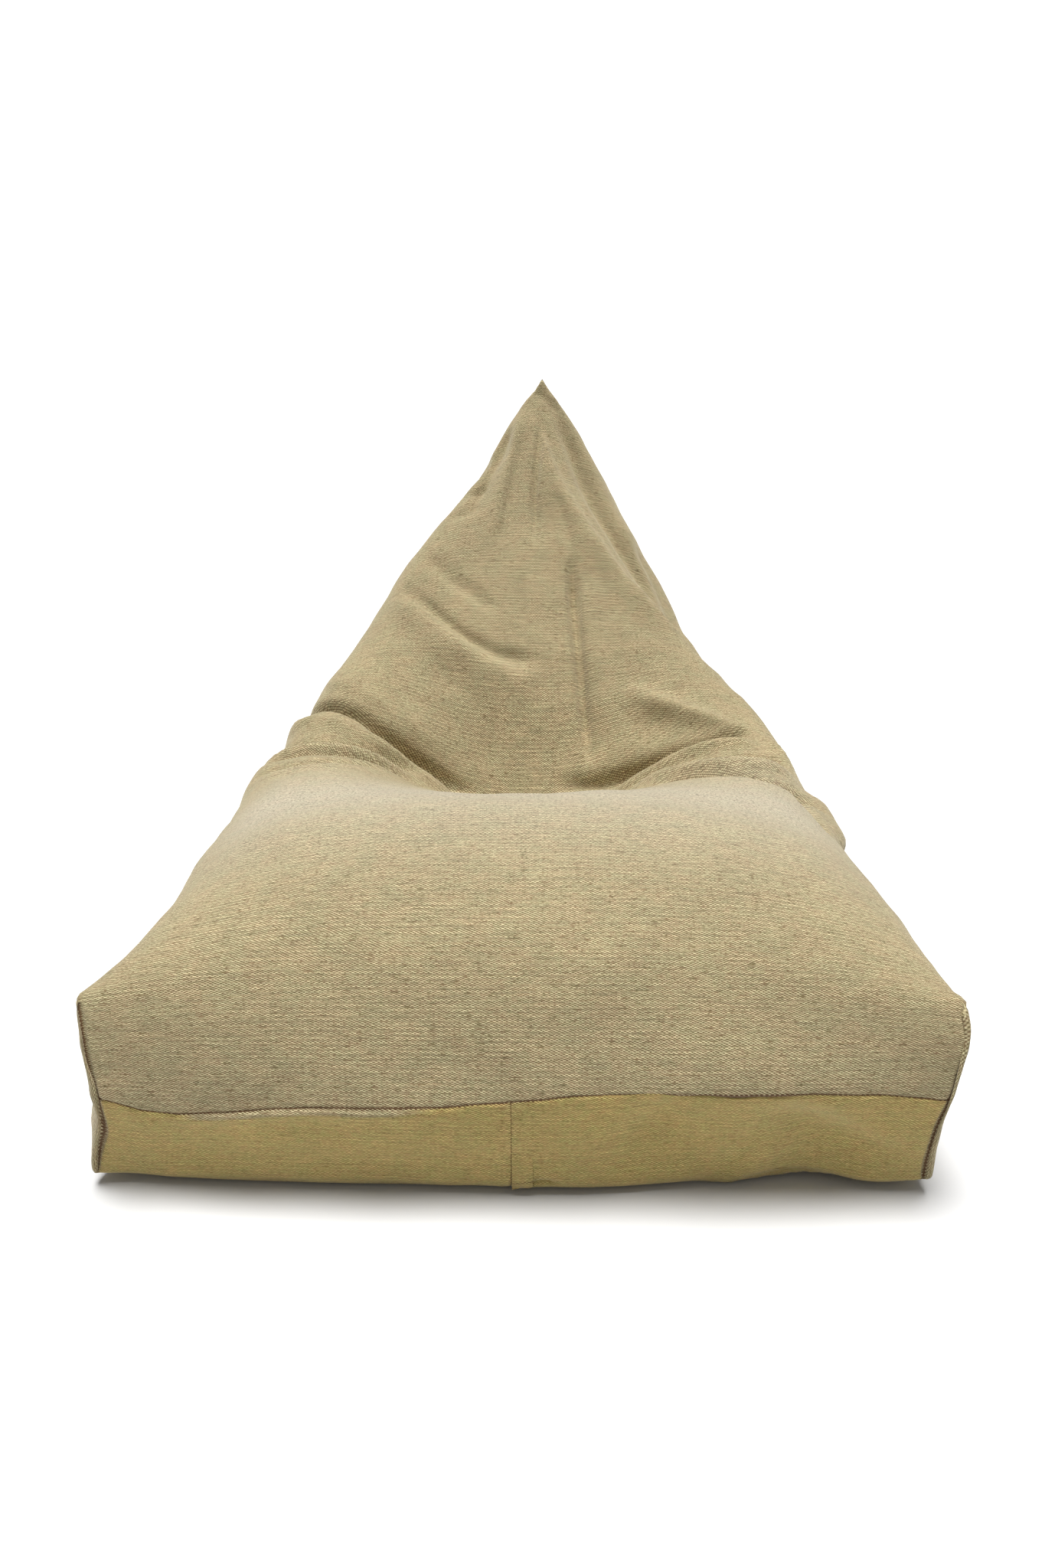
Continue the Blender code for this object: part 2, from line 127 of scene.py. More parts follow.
# boxed corner seams, by the distance up from the end of the front seam: the x
# of the right and of the left one, y and z
BOX_SEAM = (
    (-0.125, 0.491, 0.522, 0.036, 0.020),
    (-0.088, 0.488, 0.513, 0.028, 0.056),
    (-0.050, 0.486, 0.501, 0.019, 0.096),
    (0.000, 0.493, 0.501, 0.013, 0.148),
    (0.050, 0.501, 0.509, 0.019, 0.192),
    (0.088, 0.506, 0.512, 0.028, 0.222),
    (0.125, 0.502, 0.516, 0.041, 0.247),
)

# Hollow that a sitter has pressed between the seat's crest and the back, by
# distance along the tube: its depth, how far out it reaches across, and how
# flat it is between steep sides.
HOLLOW = (
    (0.42, 0.000, 0.30, 2.0), (0.48, 0.012, 0.30, 2.0), (0.54, 0.033, 0.30, 2.0),
    (0.61, 0.063, 0.30, 2.2), (0.68, 0.096, 0.29, 2.6), (0.75, 0.136, 0.28, 2.8),
    (0.82, 0.185, 0.27, 2.8), (0.86, 0.205, 0.27, 2.8), (0.90, 0.202, 0.27, 2.8),
    (0.95, 0.160, 0.26, 2.8), (1.02, 0.098, 0.25, 2.8), (1.10, 0.048, 0.24, 2.8),
    (1.20, 0.016, 0.22, 2.8), (1.30, 0.000, 0.20, 2.8),
)

# by distance along the tube: how far the bag stands to the right of its middle
LEAN = (
    (0.125, 0.000), (0.165, -0.005), (0.230, 0.002), (0.340, 0.007), (0.450, -0.001),
    (0.560, -0.003), (0.900, 0.000), (1.100, -0.008), (1.250, -0.012), (1.400, -0.002),
    (1.500, 0.013), (1.600, 0.016), (1.650, 0.016),
)

# by place across: how far the front seam sags, as its left part hangs lower
SEAM_SAG = (
    (-0.49, 0.0110), (-0.44, 0.0245), (-0.40, 0.0265), (-0.35, 0.0215), (-0.30, 0.0160),
    (-0.24, 0.0110), (-0.17, 0.0100), (-0.10, 0.0085), (0.00, -0.0015), (0.06, -0.0090),
    (0.15, -0.0117), (0.33, -0.0128), (0.42, -0.0080), (0.49, 0.0000),
)
SAG_REACH = 0.10

# Folds as paths on the cloth: distance along the tube and round it from the
# top centre line, + to the right, at the start, middle and end of each. A
# height under zero is a crease. Its width is given on the left and on the
# right of the path, so that one side of it can be the steeper.
Fold = namedtuple("Fold", "name along1 round1 along2 round2 along3 round3 height left right")
FOLDS = [Fold(*row) for row in (
    ("left_shoulder", 1.085, -0.45, 0.978, -0.29, 0.952, -0.12, 0.008, 0.045, 0.016),
    ("left_crease", 1.045, -0.52, 0.930, -0.30, 0.905, -0.08, -0.031, 0.013, 0.010),
    ("left_ridge", 0.965, -0.52, 0.886, -0.315, 0.900, -0.13, 0.018, 0.012, 0.026),
    ("left_trough", 0.875, -0.50, 0.827, -0.345, 0.900, -0.17, -0.014, 0.017, 0.009),
    ("left_thin_ridge", 0.82, -0.50, 0.795, -0.345, 0.875, -0.18, 0.010, 0.010, 0.010),
    ("left_thin_crease", 0.79, -0.49, 0.772, -0.345, 0.850, -0.19, -0.014, 0.010, 0.006),
    ("left_fine_crease", 0.745, -0.48, 0.728, -0.36, 0.800, -0.22, -0.009, 0.009, 0.006),
    ("left_fine_ridge", 0.72, -0.47, 0.700, -0.37, 0.735, -0.25, 0.005, 0.009, 0.009),
    ("left_side_swell", 0.80, -0.44, 0.75, -0.50, 0.70, -0.60, 0.010, 0.040, 0.040),
    ("left_side_drag", 0.84, -0.54, 0.80, -0.66, 0.80, -0.80, -0.018, 0.045, 0.045),
    ("right_ridge", 1.04, 0.16, 0.910, 0.350, 0.73, 0.47, 0.020, 0.015, 0.022),
    ("right_crease", 0.92, 0.03, 0.893, 0.23, 0.835, 0.42, -0.025, 0.013, 0.012),
    ("right_second_ridge", 0.89, 0.12, 0.825, 0.28, 0.805, 0.42, 0.020, 0.014, 0.014),
    ("right_second_crease", 0.82, 0.19, 0.762, 0.32, 0.765, 0.45, -0.022, 0.012, 0.009),
    ("right_third_ridge", 0.82, 0.15, 0.722, 0.31, 0.715, 0.46, 0.018, 0.013, 0.013),
    ("right_third_crease", 0.77, 0.13, 0.680, 0.33, 0.650, 0.51, -0.020, 0.012, 0.008),
    ("right_side_swell", 1.06, 0.38, 0.95, 0.45, 0.84, 0.50, 0.009, 0.040, 0.040),
    ("right_lobe_crease", 0.68, 0.43, 0.60, 0.458, 0.50, 0.500, -0.014, 0.011, 0.014),
    ("right_lobe", 0.72, 0.50, 0.650, 0.512, 0.575, 0.53, 0.018, 0.026, 0.030),
    ("right_side_drag", 0.64, 0.60, 0.68, 0.70, 0.72, 0.84, -0.018, 0.045, 0.045),
    ("back_left_ridge", 1.27, -0.32, 1.103, -0.135, 1.065, 0.05, 0.010, 0.012, 0.036),
    ("back_left_crease", 1.26, -0.28, 1.120, -0.118, 1.092, 0.04, -0.010, 0.011, 0.009),
    ("back_left_low_crease", 1.23, -0.33, 1.060, -0.175, 1.01, -0.06, -0.003, 0.022, 0.030),
    ("back_left_top_crease", 1.31, -0.24, 1.228, -0.15, 1.17, -0.05, -0.007, 0.016, 0.012),
    ("back_right_ridge", 1.60, -0.04, 1.34, 0.125, 1.13, 0.36, 0.017, 0.010, 0.042),
    ("back_right_facet", 1.62, 0.02, 1.375, 0.165, 1.19, 0.36, -0.023, 0.030, 0.018),
    ("back_right_notch", 1.25, 0.34, 1.175, 0.375, 1.11, 0.43, -0.016, 0.030, 0.030),
    ("back_right_waist", 1.39, 0.25, 1.290, 0.325, 1.20, 0.38, -0.015, 0.034, 0.034),
    ("back_centre_crease", 1.30, 0.100, 1.10, 0.104, 0.93, 0.115, -0.027, 0.008, 0.010),
    ("back_centre_ridge", 1.27, 0.150, 1.10, 0.140, 0.96, 0.150, 0.006, 0.018, 0.020),
    ("back_flank_crease", 1.41, 0.045, 1.34, 0.080, 1.27, 0.096, -0.007, 0.010, 0.009),
    ("back_low_drag", 1.09, -0.050, 1.00, -0.060, 0.93, -0.066, -0.005, 0.012, 0.012),
    ("peak_left_wrinkle", 1.44, -0.19, 1.425, -0.140, 1.44, -0.100, -0.006, 0.009, 0.008),
    ("peak_left_low_wrinkle", 1.39, -0.20, 1.375, -0.150, 1.39, -0.105, -0.005, 0.010, 0.009),
    ("peak_left_ridge", 1.60, -0.045, 1.44, -0.066, 1.30, -0.075, 0.011, 0.010, 0.020),
    ("peak_left_facet", 1.58, -0.08, 1.47, -0.115, 1.36, -0.14, -0.012, 0.024, 0.014),
    ("peak_left_notch", 1.53, -0.13, 1.48, -0.19, 1.44, -0.28, -0.010, 0.030, 0.030),
    ("peak_hollow", 1.56, -0.005, 1.44, 0.003, 1.28, 0.022, -0.010, 0.010, 0.010),
    ("peak_pucker", 1.63, -0.03, 1.60, 0.01, 1.58, 0.05, -0.004, 0.008, 0.008),
    ("band_hollow", 0.02, 0.86, 0.10, 0.89, 0.20, 0.91, -0.022, 0.070, 0.070),
    ("band_lift", 0.02, 1.12, 0.08, 1.04, 0.13, 0.96, -0.012, 0.070, 0.070),
    ("band_tuck", 0.131, 1.223, 0.119, 1.210, 0.122, 1.186, -0.0045, 0.0045, 0.0060),
    ("left_corner_swell", 0.16, -0.64, 0.19, -0.69, 0.24, -0.74, 0.008, 0.050, 0.050),
)]

# seams: how deep and how wide the cloth is drawn in, how it swells and puckers
# beside them, and the scale and the distance by which their dark thread is drawn
Seam = namedtuple("Seam", "name depth half swell swell_half pucker thread_scale thread_away")
FRONT_SEAM = Seam("front", 0.0012, 0.0018, 0.0006, 0.014, 0.0008, 0.60, 0.0)
BOX_SEAMS = Seam("boxed", 0.0010, 0.0030, 0.0010, 0.013, 0.0006, 0.70, 0.0)
BACK_SEAM = Seam("back", 0.0040, 0.0026, 0.0018, 0.013, 0.0012, 1.0, 0.0)
JOIN_SEAM = Seam("join", 0.0012, 0.0018, 0.0004, 0.010, 0.0005, 1.0, 0.0003)
SEAM_REACH = 0.080  # how far from a seam its swell and puckers are worked out
PUCKER_LONG = 0.019  # spacing of the puckers along a seam
PUCKER_FROM = 0.004  # how far from a seam they are full
PUCKER_REACH = 0.020  # how far from a seam they run out
PUCKER_SEED = 40.0

# by place across: how far the band stands out in a lip below the front seam
LIP = (
    (-0.440, 0.0000), (-0.400, 0.0026), (-0.360, 0.0056), (-0.170, 0.0052), (-0.110, 0.0030),
    (-0.070, 0.0010), (0.060, 0.0008), (0.090, 0.0022), (0.120, 0.0008), (0.320, 0.0008),
    (0.375, 0.0024), (0.420, 0.0006), (0.480, 0.0000),
)
LIP_RISE = 0.0040  # cloth over which the lip comes out
LIP_FADE = 0.0150  # cloth over which it goes back to the band
LIP_RUN = 0.7  # how much further the cloth runs for each metre of lip

# Boxed seams lie behind the front panel's rolled edge. Beside each seam the
# side cloth first runs outwards, so that a strip of it shows from the front.
# By the distance up from the end of the front seam: how far the right and the
# left one are drawn in from the bag's side.
TUCKS = (
    (-0.125, 0.010, 0.005), (-0.088, 0.009, 0.006), (-0.050, 0.006, 0.006),
    (0.000, 0.004, 0.008), (0.050, 0.003, 0.007), (0.088, 0.002, 0.005),
    (0.125, 0.001, 0.003),
)
TUCK_STRIP = 0.008  # cloth over which the strip reaches the side
TUCK_CURVE = 1.5  # how sharply it does
TUCK_PANEL = 0.050  # cloth over which the front panel narrows to its seam
TUCK_SIDE = 0.014  # cloth from the seam's end over which the strip comes in
TUCK_SIDE_START = 0.4  # share of it that the seam's end already has
TUCK_TURN = 0.008  # how much of the side cloth runs outwards
TUCK_TURN_RISE = 0.006  # cloth over which it starts to
TUCK_TURN_FADE = 0.050  # cloth over which it stops
TUCK_SPREAD = 0.5  # side cloth taken in for each metre that runs outwards
TUCK_GROOVE = 0.0022  # depth of the seam behind the panel's edge
TUCK_GROOVE_HALF = 0.0032
TUCK_GROOVE_END = 0.020  # cloth from the seam's end over which the groove deepens
TUCK_GROOVE_START = 0.3  # share of it that the seam's end already has

# edge where the sides turn under the bag
BASE_ROUND = 0.022  # its radius
BASE_TALL = 3 * BASE_ROUND  # height over the floor up to which cloth may belong to it
BASE_FROM = 0.3  # how far out from the middle it lies at least
BASE_STOPS = 60  # places from front to back at which it is measured
BASE_SLICE = 0.02  # half the depth of the slice measured at each
LOADED = 0.012  # height over the floor below which the weight flattens the cloth

# unevenness of the filled cloth
Swell = namedtuple("Swell", "size height seed")
SWELLS = (Swell(0.170, 0.0022, 3.0), Swell(0.075, 0.0012, 11.0), Swell(0.032, 0.0005, 23.0))

# placket end
TAB_LEFT = -0.013
TAB_RIGHT = 0.012
TAB_TOP = 0.068
TAB_FOOT = 0.0008
TAB_THICK = 0.0018
TAB_MERGE = 0.030  # length over which its upper end comes out of the band's cloth
TAB_SINK = 0.0022  # how deep its upper edge lies in the band's cloth
TAB_END = (0.006, 0.013)  # how much its lower edge is cut up at the left and at the right
TAB_STITCH = (0.0194, 0.0238)  # height of its line of stitches at the left and at the right
TAB_LOW = 0.010  # height down to which it follows the band
TAB_HANG = 0.0003  # how far its end then hangs back
TAB_CLEAR = 0.0004  # how far it stands off the band
TAB_ROUND = 0.0012  # width of its rounded side edges
TAB_SHARP = radians(50.0)  # edges that turn further than this look sharp
TAB_BAND_SHADE = 0.8  # how much of the band's painted shade it has
TAB_ROWS = 16
TAB_COLUMNS = 10
TAB_RAYS = 7  # places across it at which the band is felt for
RAY_BACK = 0.2  # how far in front of the bag that starts

# camera in the bag's own axes, whose y is 0 at the middle of the front seam
CAMERA_AWAY = 1.107
CAMERA_HIGH = 0.938
CAMERA_YAW = radians(1.0)
CAMERA_PITCH = radians(20.0)
FOCAL_PIXELS = 1500.0
LONG_SIDE_PIXELS = 2048.0
SENSOR = 36.0

# studio
FLOOR_TONE = 0.66
FLOOR_ROUGH = 0.9
FLOOR_HALF = 30.0
FLOOR_DROP = 0.0005  # how far under the bag the floor lies, so that the two don't meet
SKY_STRENGTH = 0.27
SUN_STRENGTH = 5.5
SUN_WIDTH = radians(36.0)
SUN_TILT = (radians(-3.0), radians(-2.0), 0.0)

# painted shade on the band under the front seam: its cloth is drawn darker, more olive and with
# less contrast
BAND_SHADE_EDGE = 0.010  # cloth beside the boxed seams over which that starts
BAND_SHADE_TO = 0.20  # distance along the tube at which it ends
BAND_SHADE_FADE = 0.050  # cloth over which it ends
BAND_SHADE_AT_JOIN = 0.45  # share of it that is left at the join
BAND_SHADE_JOIN_FADE = 0.060  # cloth beside the join over which it is less
PALE_LIP = 0.0045  # a lip this tall keeps the looks of plain cloth, without the painted shade
PALE_FROM = 0.003  # distance from the front seam up to which it does
PALE_FADE = 0.014  # cloth over which it then loses them

# painted sheen on the seat's crest: its cloth is drawn paler, where light catches it at a grazing
# view
CREST_AT = 0.54  # distance along the tube of its middle
CREST_FRONT = 0.17  # how far it reaches forwards
CREST_BACK = 0.13  # how far it reaches backwards
CREST_SIDE = 0.52  # distance round the tube at which it ends
CREST_SIDE_FADE = 0.14  # cloth over which it ends

# weave
STITCH_WIDE = 0.0058  # spacing of the light floats along a row
STITCH_TALL = 0.0027  # spacing of rows whose floats line up
STITCH_SLANT = 0.00016  # how far each float falls from its left end to its right
STITCH_PAIR = 0.16  # how much every other row differs
STITCH_MIXED = 0.26  # how much every other float in a row differs
FLOAT_RANGE = (-0.85, 0.75)  # pattern values that are all gap and all float

# Noise over the cloth: its turns in a metre across and along the cloth, its
# layers of detail, the strength of each next layer, and how far it changes the
# cloth. That is an amount, or a range: the two values between which the noise
# counts, then what it counts as at each, or else 0 and 1. The range of GRAIN
# is of the distance up the cloth, and gives its amount there.
Noise = namedtuple("Noise", "across along layers strength by")
BEND = Noise(25.0, 80.0, 2.0, 0.5, 0.0022)  # threads that wander up and down
SWAY = Noise(90.0, 140.0, 2.0, 0.5, 0.0036)  # floats that wander left and right
SINGLE = Noise(190.0, 520.0, 1.0, 0.5, (0.28, 0.72, 0.50, 1.0))  # odd stitches
FLECK = Noise(75.0, 680.0, 1.0, 0.5, (0.32, 0.42, 0.15, 1.0))  # dark flecks
DYE = Noise(150.0, 300.0, 1.0, 0.5, (0.40, 0.60))  # colour of the gaps
PATCH = Noise(26.0, 34.0, 3.0, 0.6, (0.35, 0.65))  # colour of larger places
SLUB = Noise(18.0, 350.0, 2.0, 0.6, 0.72)  # thick and thin places in a row's yarn
MOTTLE = Noise(40.0, 350.0, 1.0, 0.5, 0.40)  # shorter ones
ROW_TONE = Noise(5.0, 385.0, 1.0, 0.5, 0.36)  # rows lighter or darker all along
BROAD = Noise(5.0, 6.0, 2.0, 0.5, (0.3, 0.7, 0.96, 1.04))  # tone of whole parts
BLOTCH = Noise(85.0, 120.0, 3.0, 0.7, (0.38, 0.62))  # colour of the band's painted shade
GRAIN = Noise(300.0, 330.0, 2.0, 0.6, (0.85, 1.05, 0.20, 0.60))  # uneven stitches
SPECKS = Noise(210.0, 300.0, 1.0, 0.5, (0.56, 0.64))  # dark specks on the crest: painted shade between the floats
FIBRE = Noise(900.0, 2600.0, 2.0, 0.5, 0.25)  # fine relief of the yarn

MIDDLE_LIGHT = 0.42  # lightness that cloth under the band's painted shade is drawn towards
BAND_SHADE_CONTRAST = 0.66  # share of the contrast that it keeps
BAND_SHADE_SLUB = 0.40  # what slubs count as in it
BAND_SHADE_FULL = 0.5  # strength of the painted band shade from which the cloth has its whole tint
CREST_SHEEN_SHARE = 0.29  # share of the painted sheen colour at the crest
CREST_GRAIN = 1.20  # how much more uneven the stitches are at the crest, standing in for the shade of their relief
CREST_SPECKS = -0.45  # how much darker its painted specks of shade are
RAGGED = 0.0008  # how far floats reach over the edge of the sewing thread
THREAD_RANGE = (0.0004, 0.0011, 0.9, 0.0)
BUMP = 0.6
BUMP_TALL = 0.0007

# colours and finish of the cloth
LIGHT_FLOAT = (0.580, 0.505, 0.311, 1.0)
WARM_GAP = (0.150, 0.096, 0.046, 1.0)
GREEN_GAP = (0.128, 0.096, 0.040, 1.0)
RED_PATCH = (1.03, 0.99, 0.96, 1.0)
GREEN_PATCH = (0.97, 1.00, 0.96, 1.0)
# painted sheen: the pale colour drawn into the crest
CREST_SHEEN_COLOUR = (0.655, 0.620, 0.550, 1.0)
# painted shade: tints that make the band darker and more olive
BAND_SHADE_RED = (1.17, 1.03, 0.67, 1.0)
BAND_SHADE_GREEN = (1.08, 1.06, 0.64, 1.0)
SEAM_THREAD = (0.080, 0.034, 0.011, 1.0)
CLOTH_ROUGH = (0.98, 0.84)  # roughness of the gaps and of the floats
CLOTH_FINISH = {
    "Sheen Weight": 0.34,
    "Sheen Roughness": 0.45,
    "Sheen Tint": (1.0, 0.93, 0.76, 1.0),
    "Specular IOR Level": 0.25,
}


def ease(share):
    """Share from 0 to 1, eased at both ends."""
    share = np.clip(share, 0.0, 1.0)
    return share * share * (3 - 2 * share)


def look_up(table, where, column=1):
    """One column of a table at many places, on straight lines between its rows."""
    data = np.array(table)
    return np.interp(where, data[:, 0], data[:, column])


def smooth_row(table, where):
    """Values of a table at one place, on a curve that never overshoots its rows."""
    data = np.array(table, dtype=float)
    x = data[:, 0]
    gap = np.diff(x)
    slope = np.diff(data[:, 1:], axis=0) / gap[:, None]
    tangent = np.zeros_like(data[:, 1:])
    for k in range(1, len(x) - 1):
        before, after = slope[k - 1], slope[k]
        same = before * after > 0
        w1 = 2 * gap[k] + gap[k - 1]
        w2 = gap[k] + 2 * gap[k - 1]
        tangent[k, same] = (w1 + w2) / (w1 / before[same] + w2 / after[same])
    tangent[0] = slope[0]
    tangent[-1] = slope[-1]
    k = int(np.clip(np.searchsorted(x, where, side="right") - 1, 0, len(x) - 2))
    t = (where - x[k]) / gap[k]
    start = data[k, 1:] * (1 + 2 * t) * (1 - t) ** 2
    end = data[k + 1, 1:] * t * t * (3 - 2 * t)
    bend = tangent[k] * gap[k] * t * (1 - t) ** 2 + tangent[k + 1] * gap[k] * t * t * (t - 1)
    return start + end + bend


def even_steps(start, end, step):
    """Places from start to end about a step apart, without the first one."""
    count = max(1, int(round((end - start) / step)))
    return list(np.linspace(start, end, count + 1)[1:])


def panel_columns():
    """Columns of half a front panel: close together beside the join and at the corner seam."""
    near_seam = [PANEL_HALF - step for step in reversed(SEAM_STEPS)]
    between = even_steps(JOIN_COLUMNS[-1], near_seam[0], PANEL_STEP)
    return list(JOIN_COLUMNS) + between[:-1] + near_seam + [PANEL_HALF]


def box_steps():
    """Steps from the middle of a boxed seam to its end, close together at both."""
    far = [BOX_HALF - step for step in reversed(SEAM_STEPS)]
    between = even_steps(SEAM_STEPS[-1], far[0], BOX_STEP)
    return [0.0] + list(SEAM_STEPS) + between[:-1] + far + [BOX_HALF]


PANEL_AT = panel_columns()
BOX_STEPS = box_steps()
PANEL = len(PANEL_AT) - 1
BOX = len(BOX_STEPS) - 1
BOX_END = PANEL + 2 * BOX
UNDER = 2 * PANEL + 2 * BOX


def cloth_columns():
    """Distances round the cloth from the top centre line to the under centre line."""
    upper_box = [MIDDLE - step for step in reversed(BOX_STEPS[:-1])]
    lower_box = [MIDDLE + step for step in BOX_STEPS[1:]]
    under = [CLOTH_HALF - at for at in reversed(PANEL_AT[:-1])]
    return np.array(PANEL_AT + upper_box + lower_box + under)


def cloth_rows():
    """Distances along the tube: the boxed depth, then rows that are closest at the folds."""
    rows = BOX_STEPS + [BOX_HALF + step for step in SEAM_STEPS]
    rows += even_steps(rows[-1], FINE_FROM, PLAIN_STEP)
    rows += even_steps(FINE_FROM, FINE_TO, FINE_STEP)
    back = [CLOTH_LONG - step for step in reversed(SEAM_STEPS)]
    rows += even_steps(FINE_TO, back[0], PLAIN_STEP)
    return np.array(rows + back[1:] + [CLOTH_LONG])


def half_section(section, shares):
    """Points from the top centre round one side to the under centre, evenly on the cloth."""
    y_top, z_top, y_side, z_side, y_under, z_under, half, upper, lower = section
    turn = np.linspace(0.0, pi / 2, SECTION_POINTS)
    x_up, x_low = (half * np.sin(turn) ** (2 / square) for square in (upper, lower))
    z_up = z_side + (z_top - z_side) * np.cos(turn) ** (2 / upper)
    z_low = z_side + (z_under - z_side) * np.cos(turn) ** (2 / lower)
    x = np.concatenate([x_up, x_low[::-1][1:]])
    z = np.concatenate([z_up, z_low[::-1][1:]])
    arc = np.concatenate([[0.0], np.cumsum(np.hypot(np.diff(x), np.diff(z)))])
    xs = np.interp(shares * arc[-1], arc, x)
    zs = np.interp(shares * arc[-1], arc, z)
    high = np.clip((zs - z_side) / max(z_top - z_side, HAIR), 0.0, 1.0)
    low = np.clip((z_side - zs) / max(z_side - z_under, HAIR), 0.0, 1.0)
    ys = y_side + (y_top - y_side) * high ** SIDE_CURVE + (y_under - y_side) * low ** SIDE_CURVE
    return np.stack([xs, ys, zs], axis=-1)


def panel_row(line, centre, edge, under):
    """Fill one row of a front panel, from its centre point to its point on the boxed seam."""
    for k in range(PANEL + 1):
        share = PANEL_AT[k] / PANEL_HALF
        crown = share ** PANEL_CROWN
        y = centre[0] + (edge[1] - centre[0]) * crown
        z = centre[1] + (edge[2] - centre[1]) * crown
        line[UNDER - k if under else k] = (edge[0] * share, y, z)


def half_grid(rows, columns, left):
    """Places of the cloth grid on one half of the bag, as if on the right."""
    shares = columns / CLOTH_HALF
    grid = np.zeros((len(rows), UNDER + 1, 3))
    for i in range(BOX, len(rows)):
        grid[i] = half_section(smooth_row(SECTIONS, rows[i]), shares)
    # the row behind the boxed seams takes their line, and pulls the rows after it
    first = smooth_row(SECTIONS, BOX_HALF)
    sewn = grid[BOX].copy()
    ups = list(reversed(BOX_STEPS)) + [-step for step in BOX_STEPS[1:]]
    for k, up in enumerate(ups):
        x_right, x_left, y, z = smooth_row(BOX_SEAM, up)
        sewn[PANEL + k] = (x_left if left else x_right, y, z)
    panel_row(sewn, (first[0], first[1]), sewn[PANEL], False)
    panel_row(sewn, (first[4], first[5]), sewn[BOX_END], True)
    pull = sewn - grid[BOX]
    for i in range(BOX, len(rows)):
        grid[i] += pull * np.exp(-((rows[i] - BOX_HALF) / CORNER_REACH) ** CORNER_CURVE)
    # the two front panels, between the boxed seams
    for i in range(BOX):
        section = smooth_row(SECTIONS, rows[i])
        panel_row(grid[i], (section[0], section[1]), grid[BOX, PANEL + BOX - i], False)
        panel_row(grid[i], (section[4], section[5]), grid[BOX, PANEL + BOX + i], True)
    return grid


def sewn_place(i, j, last):
    """The one grid place that stands for every place sewn to (i, j)."""
    j = (j + UNDER) % (2 * UNDER) - UNDER
    side = 1 if j >= 0 else -1
    away = abs(j)
    if i == last:
        return i, away
    if i == 0 and away >= BOX_END:
        return 0, side * (UNDER - away)
    if i == BOX and PANEL < away < BOX_END:
        step = away - PANEL
        if step <= BOX:
            return BOX - step, side * PANEL
        return step - BOX, side * BOX_END
    if j == -UNDER:
        return i, UNDER
    return i, j


# places of the skin, its faces, and the cloth address of each place and face corner
Skin = namedtuple("Skin", "places faces cloth corners")


def sew_grid(rows, columns):
    """Join the grid into one closed skin."""
    halves = (half_grid(rows, columns, False), half_grid(rows, columns, True))
    last = len(rows) - 1
    places, faces, cloth, corners, index = [], [], [], [], {}

    def number(i, j):
        key = sewn_place(i, j, last)
        if key not in index:
            row, column = key
            place = halves[column < 0][row, abs(column)].copy()
            place[0] *= 1 if column > 0 else -1
            if column in (0, UNDER) or row == last:
                place[0] = 0.0
            index[key] = len(places)
            places.append(place)
            cloth.append((rows[row], np.sign(column) * columns[abs(column)]))
        return index[key]

    def address(i, j, wraps):
        round_at = np.sign(j) * columns[abs(j)]
        return rows[i], round_at + 2 * CLOTH_HALF if wraps else round_at

    for i in range(last):
        for j in range(-UNDER, UNDER):
            near, far = sorted((abs(j), abs(j + 1)))
            if i < BOX and near >= PANEL and far <= BOX_END:
                continue
            # cloth between the under centre line and the join belongs to the right half
            wraps = columns[abs(j)] > CLOTH_HALF - JOIN + HAIR and j < 0
            ring = {}
            for a, b in ((i, j + 1), (i + 1, j + 1), (i + 1, j), (i, j)):
                ring.setdefault(number(a, b), address(a, b, wraps))
            numbers = list(ring)
            seam_ends = (index.get((last, 0)), index.get((last, UNDER)))
            ends = [k for k, n in enumerate(numbers) if n in seam_ends]
            if ends:
                # split at the ends of the back seam, so that the tip stays solid
                numbers = numbers[ends[0]:] + numbers[:ends[0]]
                rings = [numbers[:3], [numbers[0], numbers[2], numbers[3]]]
            else:
                rings = [numbers]
            for one in rings:
                if len(one) > 2:
                    faces.append(one)
                    corners += [ring[n] for n in one]
    return Skin(np.array(places), faces, np.array(cloth), np.array(corners))


def outward(places, faces):
    """Direction that faces out of the skin at each place."""
    quads = np.array([ring if len(ring) == 4 else [*ring, ring[-1]] for ring in faces])
    p = places[quads]
    area = np.cross(p[:, 2] - p[:, 0], p[:, 3] - p[:, 1])
    total = np.zeros_like(places)
    for k in range(4):
        np.add.at(total, quads[:, k], area)
    return total / np.maximum(np.linalg.norm(total, axis=1), 1e-12)[:, None]


def sag_front_seam(places, cloth):
    """Lower the front seam where it hangs, fading up and down the two front panels."""
    on_panel = (cloth[:, 0] <= BOX_HALF) | (np.abs(cloth[:, 1]) < PANEL_HALF)
    drop = look_up(SEAM_SAG, places[:, 0]) * ease(1.0 - cloth[:, 0] / SAG_REACH)
    places[:, 2] -= drop * on_panel


def press_hollow(places, cloth):
    """Press the seat's hollow into the top of the bag."""
    depth, half, square = (look_up(HOLLOW, cloth[:, 0], column) for column in (1, 2, 3))
    top = np.clip((MIDDLE - np.abs(cloth[:, 1])) / HOLLOW_FADE, 0.0, 1.0)
    places[:, 2] -= depth * np.exp(-np.abs(places[:, 0] / half) ** square) * top


